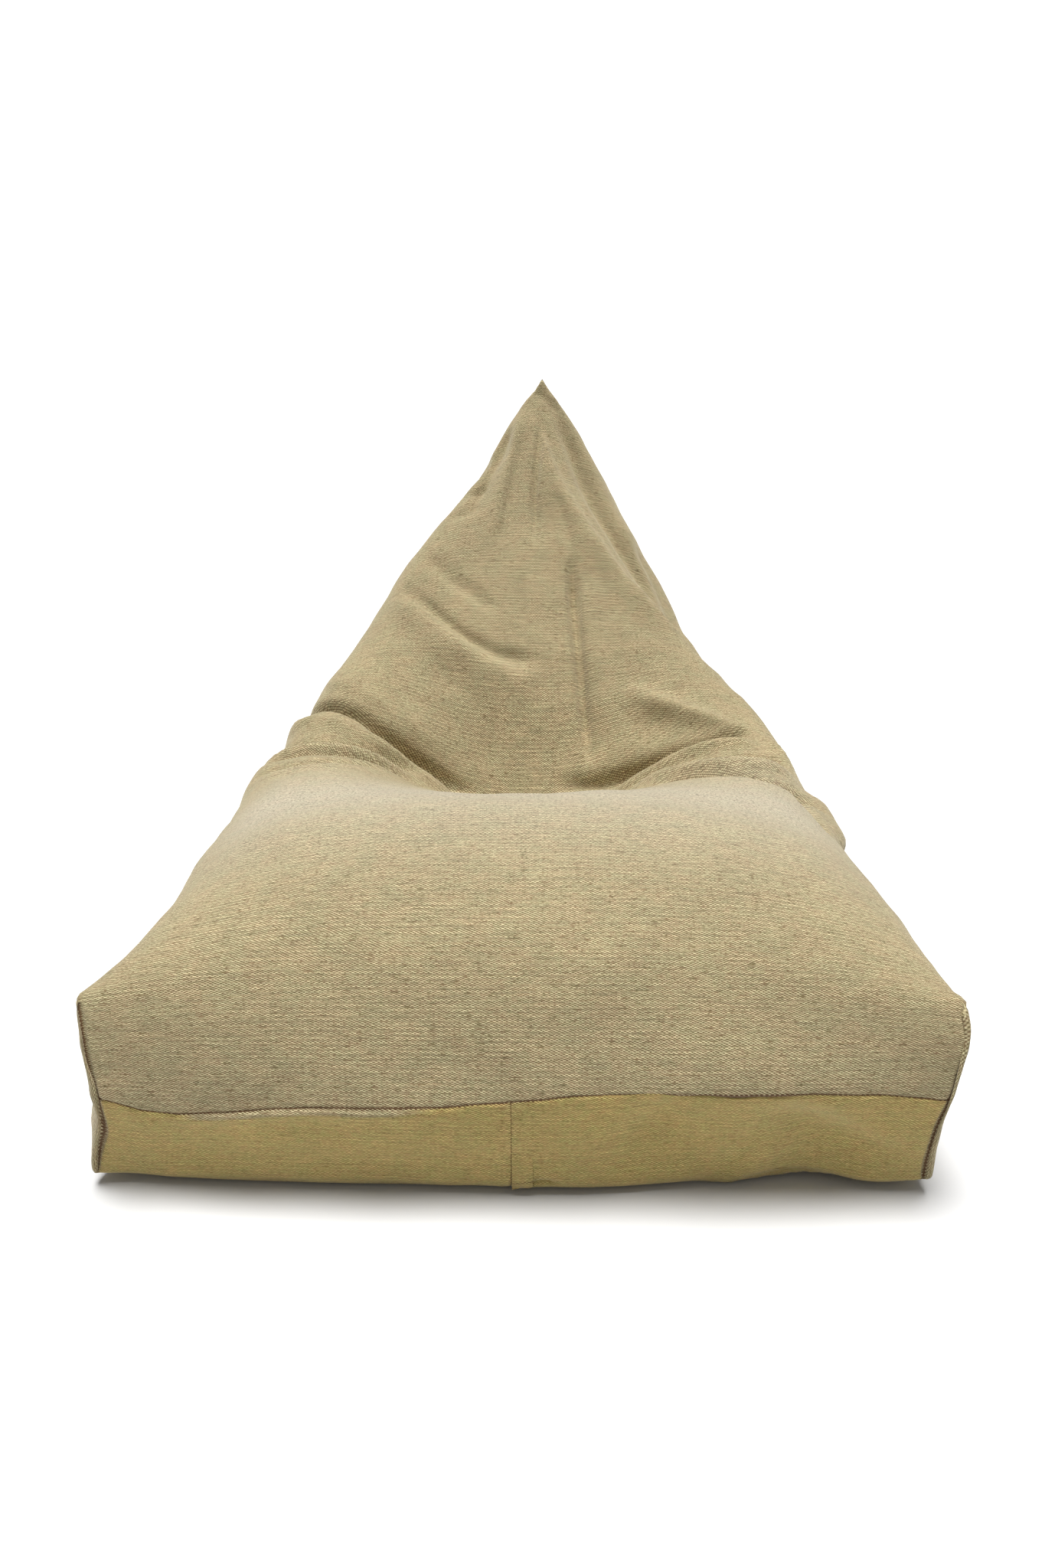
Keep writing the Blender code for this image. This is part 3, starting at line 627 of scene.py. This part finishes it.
def fold_height(fold, cloth):
    """Height of one fold over the cloth: rounded across its path, fading at both ends."""
    t = np.linspace(0.0, 1.0, FOLD_STEPS + 1)[:, None]
    a, b, c = np.reshape(fold[1:7], (3, 2))
    path = a * (1 - t) * (1 - 2 * t) + b * 4 * t * (1 - t) + c * t * (2 * t - 1)
    reach = FOLD_REACH * max(fold.left, fold.right)
    near = ((cloth >= path.min(axis=0) - reach) & (cloth <= path.max(axis=0) + reach)).all(axis=1)
    spots = cloth[near]
    offset = spots[:, None, :] - path[None, :, :]
    away = np.linalg.norm(offset, axis=2)
    nearest = away.argmin(axis=1)
    rows = np.arange(len(spots))
    distance = away[rows, nearest]
    run = np.gradient(path, axis=0)[nearest]
    step = offset[rows, nearest]
    # along grows up the cloth and round grows to the right, as seen from outside
    on_right = run[:, 1] * step[:, 0] - run[:, 0] * step[:, 1] < 0
    half = np.where(on_right, fold.right, fold.left)
    share = nearest / FOLD_STEPS
    fade = ease(np.minimum(share, 1 - share) / FOLD_TAPER)
    height = np.zeros(len(cloth))
    height[near] = fold.height * fade * np.exp(-(distance / half) ** 2)
    return height


def shape_bag(skin):
    """Places of the filled bag in its own axes, standing on the floor."""
    places, cloth = skin.places.copy(), skin.cloth
    sag_front_seam(places, cloth)
    press_hollow(places, cloth)
    places[:, 0] += look_up(LEAN, cloth[:, 0])
    out = outward(places, skin.faces)
    height = np.zeros(len(places))
    for fold in FOLDS:
        height += fold_height(fold, cloth)
    places += out * height[:, None]
    return places


def seam_gaps(cloth):
    """Distance on the cloth from each place to each kind of seam."""
    along, round_at = cloth[:, 0], cloth[:, 1]
    away = np.abs(round_at)
    past_end = np.abs(away - MIDDLE) - BOX_HALF
    boxed = np.hypot(np.maximum(along - BOX_HALF, 0.0), np.maximum(past_end, 0.0))
    on_panel = np.abs(away - MIDDLE) >= BOX_HALF - HAIR
    front = np.where(on_panel, along, FAR_OFF)
    back = CLOTH_LONG - along
    join_at = CLOTH_HALF - JOIN
    join = np.where(round_at < 0, np.abs(away - join_at), CLOTH_HALF - away + JOIN)
    return {FRONT_SEAM: front, BOX_SEAMS: boxed, BACK_SEAM: back, JOIN_SEAM: join}


def wander(run, size, seed):
    """Smooth unevenness of about -1 to 1 along a line."""
    return np.array([noise.noise(Vector((at / size, 0.5, seed))) for at in run]) * 2.0


def unevenness(places, size, seed):
    """Smooth unevenness of about -1 to 1 by place in space, so that it runs across the seams."""
    start = Vector((0.0, 0.0, seed))
    return np.array([noise.noise(Vector(place / size) + start) for place in places]) * 2.0


def seam_relief(cloth):
    """Height over the cloth of the drawn-in seams, their swollen sides and their puckers."""
    height = np.zeros(len(cloth))
    for count, (seam, gap) in enumerate(seam_gaps(cloth).items()):
        near = gap < SEAM_REACH
        d = gap[near]
        groove = seam.depth * np.exp(-(d / seam.half) ** 2)
        swell = seam.swell * np.exp(-((d - seam.swell_half) / seam.swell_half) ** 2)
        if seam is BOX_SEAMS:
            run = cloth[near].sum(axis=1)
        else:
            run = cloth[near, 0 if seam is JOIN_SEAM else 1]
        pucker = wander(run, PUCKER_LONG, PUCKER_SEED + count) * np.exp(-d / PUCKER_REACH)
        height[near] += swell - groove + seam.pucker * pucker * np.clip(d / PUCKER_FROM, 0.0, 1.0)
    return height


def front_lip(places, cloth):
    """How far the band stands out just below the front seam."""
    gap = seam_gaps(cloth)[FRONT_SEAM]
    out = look_up(LIP, places[:, 0]) * (np.abs(cloth[:, 1]) > MIDDLE)
    return out * (1 - np.exp(-(gap / LIP_RISE) ** 2)) * np.exp(-(gap / LIP_FADE) ** 2)


def tuck_corner_seams(places, cloth):
    """Draw the boxed seams in behind the front panel's edges."""
    along, away = cloth[:, 0], np.abs(cloth[:, 1])
    gap = seam_gaps(cloth)[BOX_SEAMS]
    on_front = along <= BOX_HALF
    up_front = np.where(away < MIDDLE, along, -along)
    up = np.where(on_front, up_front, np.clip(MIDDLE - away, -BOX_HALF, BOX_HALF))
    tuck = np.where(places[:, 0] > 0, look_up(TUCKS, up, 1), look_up(TUCKS, up, 2))
    from_end = BOX_HALF - np.abs(away - MIDDLE)
    side = np.where(on_front, 0.0, ease(from_end / TUCK_SIDE + TUCK_SIDE_START))
    strip = np.exp(-(gap / TUCK_STRIP) ** TUCK_CURVE)
    panel = np.exp(-gap / TUCK_PANEL)
    inwards = tuck * (side * strip + (1 - side) * panel)
    turn = side * TUCK_TURN * (1 - np.exp(-gap / TUCK_TURN_RISE))
    turn *= np.exp(-(gap / TUCK_TURN_FADE) ** 2)
    places[:, 0] -= np.sign(places[:, 0]) * (inwards + TUCK_SPREAD * turn)
    ends = ease((BOX_HALF - np.abs(up)) / TUCK_GROOVE_END + TUCK_GROOVE_START)
    groove = TUCK_GROOVE * ends * np.exp(-(gap / TUCK_GROOVE_HALF) ** 2)
    places[:, 1] += groove - turn


def round_base_edge(places):
    """Round the edge where the sides turn under the bag, all along it."""
    for side in (-1, 1):
        low = (places[:, 2] < BASE_TALL) & (places[:, 0] * side > BASE_FROM)
        at_y = np.linspace(places[:, 1].min(), places[:, 1].max(), BASE_STOPS)
        slices = [places[low & (np.abs(places[:, 1] - y) < BASE_SLICE)] for y in at_y]
        widest = [max(np.abs(part[:, 0]), default=0.0) for part in slices]
        lowest = [min(part[:, 2], default=0.0) for part in slices]
        across = np.interp(places[:, 1], at_y, widest) - BASE_ROUND
        above = np.interp(places[:, 1], at_y, lowest) + BASE_ROUND
        dx = places[:, 0] * side - across
        dz = places[:, 2] - above
        away = np.hypot(dx, dz)
        outer = low & (dx > 0) & (dz < 0) & (away > BASE_ROUND)
        places[outer, 0] = side * (across + dx * BASE_ROUND / away)[outer]
        places[outer, 2] = (above + dz * BASE_ROUND / away)[outer]


def add_relief(places, skin):
    """Add seams and the unevenness of the filled cloth, and rest the base on the floor."""
    out = outward(places, skin.faces)
    height = seam_relief(skin.cloth) + front_lip(places, skin.cloth)
    for swell in SWELLS:
        height += swell.height * unevenness(places, swell.size, swell.seed)
    # cloth that carries the weight lies flat
    lifted = np.clip(places[:, 2] / LOADED, 0.0, 1.0)
    places = places + out * (height * lifted)[:, None]
    places[:, 2] = np.maximum(places[:, 2], 0.0)
    return places


def frame_shift(places):
    """Move from the bag's own axes to the frame's, where the base is centred."""
    low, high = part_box("bag_body")
    middle = (places.min(axis=0) + places.max(axis=0)) / 2
    return np.array([(low.x + high.x) / 2 - middle[0], (low.y + high.y) / 2 - middle[1], 0.0])


def extra_run(skin):
    """How much further the cloth runs than its address says, on its last turn to the back seam."""
    late = np.flatnonzero(skin.cloth[:, 0] >= SECTIONS[-2].along - HAIR)
    late = late[np.lexsort((skin.cloth[late, 0], skin.cloth[late, 1].round(5)))]
    along, column = skin.cloth[late, 0], skin.cloth[late, 1].round(5)
    first = np.append(True, np.diff(column) != 0)
    steps = np.append(0.0, np.linalg.norm(np.diff(skin.places[late], axis=0), axis=1))
    more = np.cumsum(np.where(first, 0.0, steps - np.append(0.0, np.diff(along))))
    extra = np.zeros(len(skin.places))
    extra[late] = more - more[np.maximum.accumulate(np.where(first, np.arange(len(late)), 0))]
    return extra


def weave_height(skin, shaped):
    """Distance up the weave at each face corner: its address, less what sags or stretches."""
    along, away = skin.corners[:, 0], np.abs(skin.corners[:, 1])
    numbers = np.concatenate([np.array(ring) for ring in skin.faces])
    across = shaped[numbers, 0]
    # where the front seam sags, the cloth beside it comes down with it, unstretched
    drop = look_up(SEAM_SAG, across) * ease(1.0 - along / SAG_REACH)
    upper = away <= PANEL_HALF + HAIR
    lower = away >= PANEL_HALF + 2 * BOX_HALF - HAIR
    height = along - drop * upper + drop * lower
    lip = look_up(LIP, across) * (1 - np.exp(-(along / LIP_RISE) ** 2))
    height += LIP_RUN * lip * lower + extra_run(skin)[numbers]
    return height


def painted_band_shade(skin, shaped):
    """Painted shade on the band under the front seam: darker, more olive, less contrasty cloth,
    least beside its seam and join.
    """
    along, away = skin.cloth[:, 0], np.abs(skin.cloth[:, 1])
    band = ease((away - PANEL_HALF - 2 * BOX_HALF) / BAND_SHADE_EDGE)
    band *= ease((BAND_SHADE_TO - along) / BAND_SHADE_FADE)
    pale_lip = np.clip(look_up(LIP, shaped[:, 0]) / PALE_LIP, 0.0, 1.0)
    below_lip = 1 - pale_lip * (1 - ease((along - PALE_FROM) / PALE_FADE))
    beside_join = ease(seam_gaps(skin.cloth)[JOIN_SEAM] / BAND_SHADE_JOIN_FADE)
    return band * below_lip * (BAND_SHADE_AT_JOIN + (1 - BAND_SHADE_AT_JOIN) * beside_join)


def painted_crest_sheen(skin):
    """How much painted sheen the cloth gets: a paler colour along the seat's crest."""
    along, away = skin.cloth[:, 0], np.abs(skin.cloth[:, 1])
    half = np.where(along < CREST_AT, CREST_FRONT, CREST_BACK)
    return np.exp(-((along - CREST_AT) / half) ** 2) * ease((CREST_SIDE - away) / CREST_SIDE_FADE)


def link(thing):
    """Put a new object into the scene."""
    bpy.context.scene.collection.objects.link(thing)
    return thing


def add_corner_map(mesh, name, values):
    """Give a mesh a map with one pair of numbers for each face corner."""
    layer = mesh.uv_layers.new(name=name)
    layer.data.foreach_set("uv", np.asarray(values, dtype=np.float32).ravel())


def add_point_value(mesh, name, values):
    """Give a mesh one number for each place."""
    attribute = mesh.attributes.new(name, "FLOAT", "POINT")
    attribute.data.foreach_set("value", np.asarray(values, dtype=np.float32))


def make_cover():
    """The cover as one closed skin, with its cloth addresses and seam distances."""
    skin = sew_grid(cloth_rows(), cloth_columns())
    shaped = shape_bag(skin)
    shift = frame_shift(shaped)
    tuck_corner_seams(shaped, skin.cloth)
    round_base_edge(shaped)
    places = add_relief(shaped, skin) + shift
    mesh = bpy.data.meshes.new("cover")
    mesh.from_pydata(places.tolist(), [], skin.faces)
    mesh.shade_smooth()
    along, round_at = skin.corners[:, 0], skin.corners[:, 1]
    add_corner_map(mesh, "cloth", np.stack([round_at, weave_height(skin, shaped)], axis=-1))
    across = (round_at + CLOTH_HALF - JOIN) / (2 * CLOTH_HALF)
    add_corner_map(mesh, "OFBake", np.stack([along / CLOTH_LONG, across], axis=-1))
    gaps = seam_gaps(skin.cloth)
    lines = [gap * seam.thread_scale + seam.thread_away for seam, gap in gaps.items()]
    add_point_value(mesh, "seam_gap", np.minimum.reduce(lines))
    # painted shade of the band, and below it painted sheen of the crest, as values for the cloth's
    # colour
    add_point_value(mesh, "band_shade", painted_band_shade(skin, shaped))
    # painted sheen along the seat's crest
    add_point_value(mesh, "crest_sheen", painted_crest_sheen(skin))
    return link(bpy.data.objects.new("cover", mesh)), shift


def band_line(cover, shift):
    """The line down the lower band that the placket end lies on: forward reach by height."""
    tree = BVHTree.FromObject(cover, bpy.context.evaluated_depsgraph_get())
    line = []
    for z in np.linspace(TAB_TOP, TAB_LOW, TAB_ROWS):
        reach = []
        for x in np.linspace(TAB_LEFT, TAB_RIGHT, TAB_RAYS) + shift[0]:
            start = Vector((x, cad_low.y - RAY_BACK, z))
            reach.append(tree.ray_cast(start, Vector((0.0, 1.0, 0.0)))[0].y)
        line.append((min(reach) - TAB_CLEAR, z))
    return line


def strip_faces(rows, columns):
    """Faces of a closed flat strip: front and back sheets of places, with rims between them."""
    front, back = np.arange(2 * rows * columns).reshape(2, rows, columns).tolist()
    faces = []
    for k in range(rows - 1):
        for i in range(columns - 1):
            faces.append([front[k][i], front[k + 1][i], front[k + 1][i + 1], front[k][i + 1]])
            faces.append([back[k][i], back[k][i + 1], back[k + 1][i + 1], back[k + 1][i]])
        for i, flip in ((0, False), (columns - 1, True)):
            rim = [front[k][i], back[k][i], back[k + 1][i], front[k + 1][i]]
            faces.append(rim[::-1] if flip else rim)
    for i in range(columns - 1):
        for k, flip in ((0, False), (rows - 1, True)):
            rim = [front[k][i], back[k][i], back[k][i + 1], front[k][i + 1]]
            faces.append(rim[::-1] if flip else rim)
    return faces


def make_tab(cover, shift):
    """The placket's hemmed end: a doubled strip that lies on the band and hangs to the floor."""
    line = band_line(cover, shift)
    line.append((line[-1][0] + TAB_HANG, TAB_FOOT))
    width = TAB_RIGHT - TAB_LEFT
    places, stitch_gap = [], []
    for outer, depth in ((1, TAB_THICK), (-1, 0.0)):
        for y, z in line:
            sunk = TAB_SINK * (1 - ease((TAB_TOP - z) / TAB_MERGE))
            for i in range(TAB_COLUMNS + 1):
                u = i / TAB_COLUMNS
                edge = min(u, 1 - u) * width
                rounded = TAB_THICK / 2 * max(0.0, 1 - edge / TAB_ROUND) ** 2
                cut = TAB_END[0] + (TAB_END[1] - TAB_END[0]) * u if z < TAB_LOW else 0.0
                x = TAB_LEFT + width * u + shift[0]
                places.append((x, y + sunk - depth + outer * rounded, z + cut))
                stitches = (TAB_STITCH[1] - TAB_STITCH[0]) * u
                stitch_gap.append(z + cut - TAB_STITCH[0] - stitches)
    faces = strip_faces(len(line), TAB_COLUMNS + 1)
    mesh = bpy.data.meshes.new("placket_end")
    mesh.from_pydata(places, [], faces)
    mesh.shade_smooth()
    mesh.set_sharp_from_angle(angle=TAB_SHARP)
    add_corner_map(mesh, "cloth", [(places[n][0], places[n][2]) for face in faces for n in face])
    # the hem takes most of the band's painted shade
    add_point_value(mesh, "band_shade", [TAB_BAND_SHADE] * len(places))
    add_point_value(mesh, "seam_gap", stitch_gap)
    add_point_value(mesh, "crest_sheen", [0.0] * len(places))
    return link(bpy.data.objects.new("placket_end", mesh))


class Nodes:
    """Short names for building a material's nodes."""

    def __init__(self, name):
        self.material = bpy.data.materials.new(name)
        self.material.use_nodes = True
        self.tree = self.material.node_tree
        self.shader = self.tree.nodes["Principled BSDF"]
        self.cloth = None

    def fill(self, socket, value):
        """Link a socket to another one, or set its number or colour."""
        if isinstance(value, bpy.types.NodeSocket):
            self.tree.links.new(value, socket)
        else:
            socket.default_value = value

    def fill_shader(self, inputs):
        """Fill the shader's own sockets by name."""
        for key, value in inputs.items():
            self.fill(self.shader.inputs[key], value)

    def add(self, kind, inputs=(), **settings):
        """A new node, with its settings and its filled sockets."""
        node = self.tree.nodes.new(kind)
        for key, value in settings.items():
            setattr(node, key, value)
        for key, value in dict(inputs).items():
            self.fill(node.inputs[key], value)
        return node

    def math(self, operation, *values):
        node = self.add("ShaderNodeMath", dict(enumerate(values)), operation=operation)
        return node.outputs[0]

    def attribute(self, name):
        return self.add("ShaderNodeAttribute", attribute_name=name).outputs["Fac"]

    def noise(self, kind):
        """Noise of about 0 to 1 over the cloth."""
        size = (kind.across, kind.along, 1.0)
        scaled = self.add("ShaderNodeVectorMath", {0: self.cloth, 1: size}, operation="MULTIPLY")
        names = ("Vector", "Scale", "Detail", "Roughness")
        inputs = dict(zip(names, (scaled.outputs[0], 1.0, kind.layers, kind.strength)))
        return self.add("ShaderNodeTexNoise", inputs).outputs["Fac"]

    def eased(self, kind):
        """Noise over the cloth, eased through its range."""
        return self.ramp(self.noise(kind), *kind.by)

    def ramp(self, value, low, high, to_low=0.0, to_high=1.0):
        """Ease from one number to another while a value goes from low to high."""
        names = ("Value", "From Min", "From Max", "To Min", "To Max")
        inputs = dict(zip(names, (value, low, high, to_low, to_high)))
        node = self.add("ShaderNodeMapRange", inputs, interpolation_type="SMOOTHSTEP")
        return node.outputs["Result"]

    def vary(self, base, value, share, middle=0.5):
        """Base, changed by a share of how far a value lies from its middle."""
        return self.math("MULTIPLY_ADD", self.math("SUBTRACT", value, middle), share, base)

    def mix(self, share, first, second, blend="MIX"):
        """The first colour, with a share of the second mixed in."""
        inputs = {0: share, 6: first, 7: second}
        node = self.add("ShaderNodeMix", inputs, data_type="RGBA", blend_type=blend)
        return node.outputs[2]

    def times(self, colour, other):
        """One colour multiplied by another."""
        return self.mix(1.0, colour, other, "MULTIPLY")

    def grey(self, value):
        inputs = {"Red": value, "Green": value, "Blue": value}
        return self.add("ShaderNodeCombineColor", inputs).outputs[0]


def weave_floats(n, x, y):
    """The weave's pattern: 1 in a light float and 0 in a gap, staggered like bricks."""
    # threads wander a little, and each float slants down to the right
    slant = n.math("SINE", n.math("MULTIPLY", x, 4 * pi / STITCH_WIDE))
    y_bent = n.math("MULTIPLY_ADD", slant, STITCH_SLANT, n.vary(y, n.noise(BEND), BEND.by))
    x_bent = n.vary(x, n.noise(SWAY), SWAY.by)
    wave_x = n.math("COSINE", n.math("MULTIPLY", x_bent, 2 * pi / STITCH_WIDE))
    wave_y = n.math("COSINE", n.math("MULTIPLY", y_bent, 2 * pi / STITCH_TALL))
    wave_pair = n.math("COSINE", n.math("MULTIPLY", y_bent, pi / STITCH_TALL))
    mixed = n.math("MULTIPLY_ADD", wave_x, STITCH_MIXED, STITCH_PAIR)
    pattern = n.math("MULTIPLY_ADD", wave_pair, mixed, n.math("MULTIPLY", wave_x, wave_y))
    return n.ramp(pattern, *FLOAT_RANGE)


def woven_cloth(name):
    """Two-tone upholstery cloth: light floats over dark gaps, slubbed and uneven, with painted
    shade on the band and painted sheen on the crest.
    """
    n = Nodes(name)
    n.cloth = n.add("ShaderNodeUVMap", uv_map="cloth").outputs["UV"]
    split = n.add("ShaderNodeSeparateXYZ", {0: n.cloth})
    x, y = split.outputs["X"], split.outputs["Y"]
    # masks of the band's painted shade and of the crest's painted sheen
    band_shade, crest_sheen = n.attribute("band_shade"), n.attribute("crest_sheen")
    floats = weave_floats(n, x, y)
    light = n.math("MULTIPLY", floats, n.eased(SINGLE))
    light = n.math("MULTIPLY", light, n.eased(FLECK))
    # painted shade: the band loses contrast and slubs
    contrast = n.ramp(band_shade, 0.0, 1.0, 1.0, BAND_SHADE_CONTRAST)
    light = n.vary(MIDDLE_LIGHT, light, contrast, MIDDLE_LIGHT)
    colour = n.mix(light, n.mix(n.eased(DYE), WARM_GAP, GREEN_GAP), LIGHT_FLOAT)
    colour = n.times(colour, n.mix(n.eased(PATCH), RED_PATCH, GREEN_PATCH))
    shade = n.vary(1.0, n.noise(SLUB), n.ramp(band_shade, 0.0, 1.0, SLUB.by, BAND_SHADE_SLUB))
    shade = n.vary(shade, n.noise(MOTTLE), MOTTLE.by)
    shade = n.vary(shade, n.noise(ROW_TONE), ROW_TONE.by)
    shade = n.math("MULTIPLY", shade, n.eased(BROAD))
    colour = n.times(colour, n.grey(shade))
    # painted shade: the band's darker, olive tint
    tint = n.mix(n.eased(BLOTCH), BAND_SHADE_RED, BAND_SHADE_GREEN)
    colour = n.mix(n.ramp(band_shade, 0.0, BAND_SHADE_FULL), colour, n.times(colour, tint))
    # painted sheen: the crest is mixed towards a pale colour
    colour = n.mix(n.math("MULTIPLY", crest_sheen, CREST_SHEEN_SHARE), colour, CREST_SHEEN_COLOUR)
    # painted shade between the crest's floats: coarser grain and dark specks
    coarse = n.math("MULTIPLY_ADD", crest_sheen, CREST_GRAIN, n.ramp(y, *GRAIN.by))
    grain = n.vary(1.0, n.noise(GRAIN), coarse)
    specks = n.math("MULTIPLY", n.eased(SPECKS), crest_sheen)
    grain = n.math("MULTIPLY_ADD", specks, CREST_SPECKS, grain)
    colour = n.times(colour, n.grey(grain))
    ragged = n.vary(n.math("ABSOLUTE", n.attribute("seam_gap")), floats, RAGGED)
    colour = n.mix(n.ramp(ragged, *THREAD_RANGE), colour, SEAM_THREAD)
    relief = n.math("MULTIPLY_ADD", n.noise(FIBRE), FIBRE.by, light)
    bump = n.add("ShaderNodeBump", {"Height": relief, "Strength": BUMP, "Distance": BUMP_TALL})
    n.fill_shader({
        "Base Color": colour,
        "Roughness": n.ramp(floats, 0.0, 1.0, *CLOTH_ROUGH),
        "Normal": bump.outputs["Normal"],
        **CLOTH_FINISH,
    })
    return n.material


def make_camera(shift):
    """A camera at the photograph's viewing angle."""
    camera = bpy.data.cameras.new("camera")
    camera.lens = FOCAL_PIXELS * SENSOR / LONG_SIDE_PIXELS
    camera.sensor_width = SENSOR
    thing = link(bpy.data.objects.new("camera", camera))
    thing.location = (
        CAMERA_AWAY * sin(CAMERA_YAW) + shift[0],
        -CAMERA_AWAY * cos(CAMERA_YAW) + shift[1],
        CAMERA_HIGH,
    )
    thing.rotation_euler = (pi / 2 - CAMERA_PITCH, 0.0, CAMERA_YAW)
    bpy.context.scene.camera = thing


def make_floor():
    """A plain pale floor."""
    mesh = bpy.data.meshes.new("floor")
    corners = [(x * FLOOR_HALF, y * FLOOR_HALF, 0) for x, y in ((-1, -1), (1, -1), (1, 1), (-1, 1))]
    mesh.from_pydata(corners, [], [[0, 1, 2, 3]])
    tone = (FLOOR_TONE, FLOOR_TONE, FLOOR_TONE, 1.0)
    n = Nodes("pale_floor")
    n.fill_shader({"Base Color": tone, "Roughness": FLOOR_ROUGH})
    mesh.materials.append(n.material)
    floor = link(bpy.data.objects.new("floor", mesh))
    floor.location.z = -FLOOR_DROP


def make_light():
    """Plain soft light from above, and a backdrop as pale as the floor."""
    sun = bpy.data.lights.new("overhead", "SUN")
    sun.energy = SUN_STRENGTH
    sun.angle = SUN_WIDTH
    thing = link(bpy.data.objects.new("overhead", sun))
    thing.rotation_euler = SUN_TILT
    world = bpy.data.worlds.new("studio")
    world.use_nodes = True
    tree = world.node_tree
    background = tree.nodes["Background"]
    background.inputs["Color"].default_value = (1.0, 1.0, 1.0, 1.0)
    # the backdrop is seen as bright as the floor, and lights the bag more softly
    seen_strength = FLOOR_TONE * (SKY_STRENGTH + SUN_STRENGTH * cos(SUN_TILT[0]) / pi)
    seen = tree.nodes.new("ShaderNodeLightPath")
    strength = tree.nodes.new("ShaderNodeMapRange")
    strength.inputs["To Min"].default_value = SKY_STRENGTH
    strength.inputs["To Max"].default_value = seen_strength
    tree.links.new(seen.outputs["Is Camera Ray"], strength.inputs["Value"])
    tree.links.new(strength.outputs["Result"], background.inputs["Strength"])
    bpy.context.scene.world = world
    bpy.context.scene.view_settings.view_transform = "Standard"


cover, shift = make_cover()
cover.data.materials.append(woven_cloth("woven_cover"))
tab = make_tab(cover, shift)
tab.data.materials.append(woven_cloth("woven_hem"))
for piece, node, slot in ((cover, "bag_body", "woven_cover"), (tab, "placket_tab", "woven_hem")):
    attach(piece, "root")
    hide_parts(node)
make_camera(shift)
make_floor()
make_light()
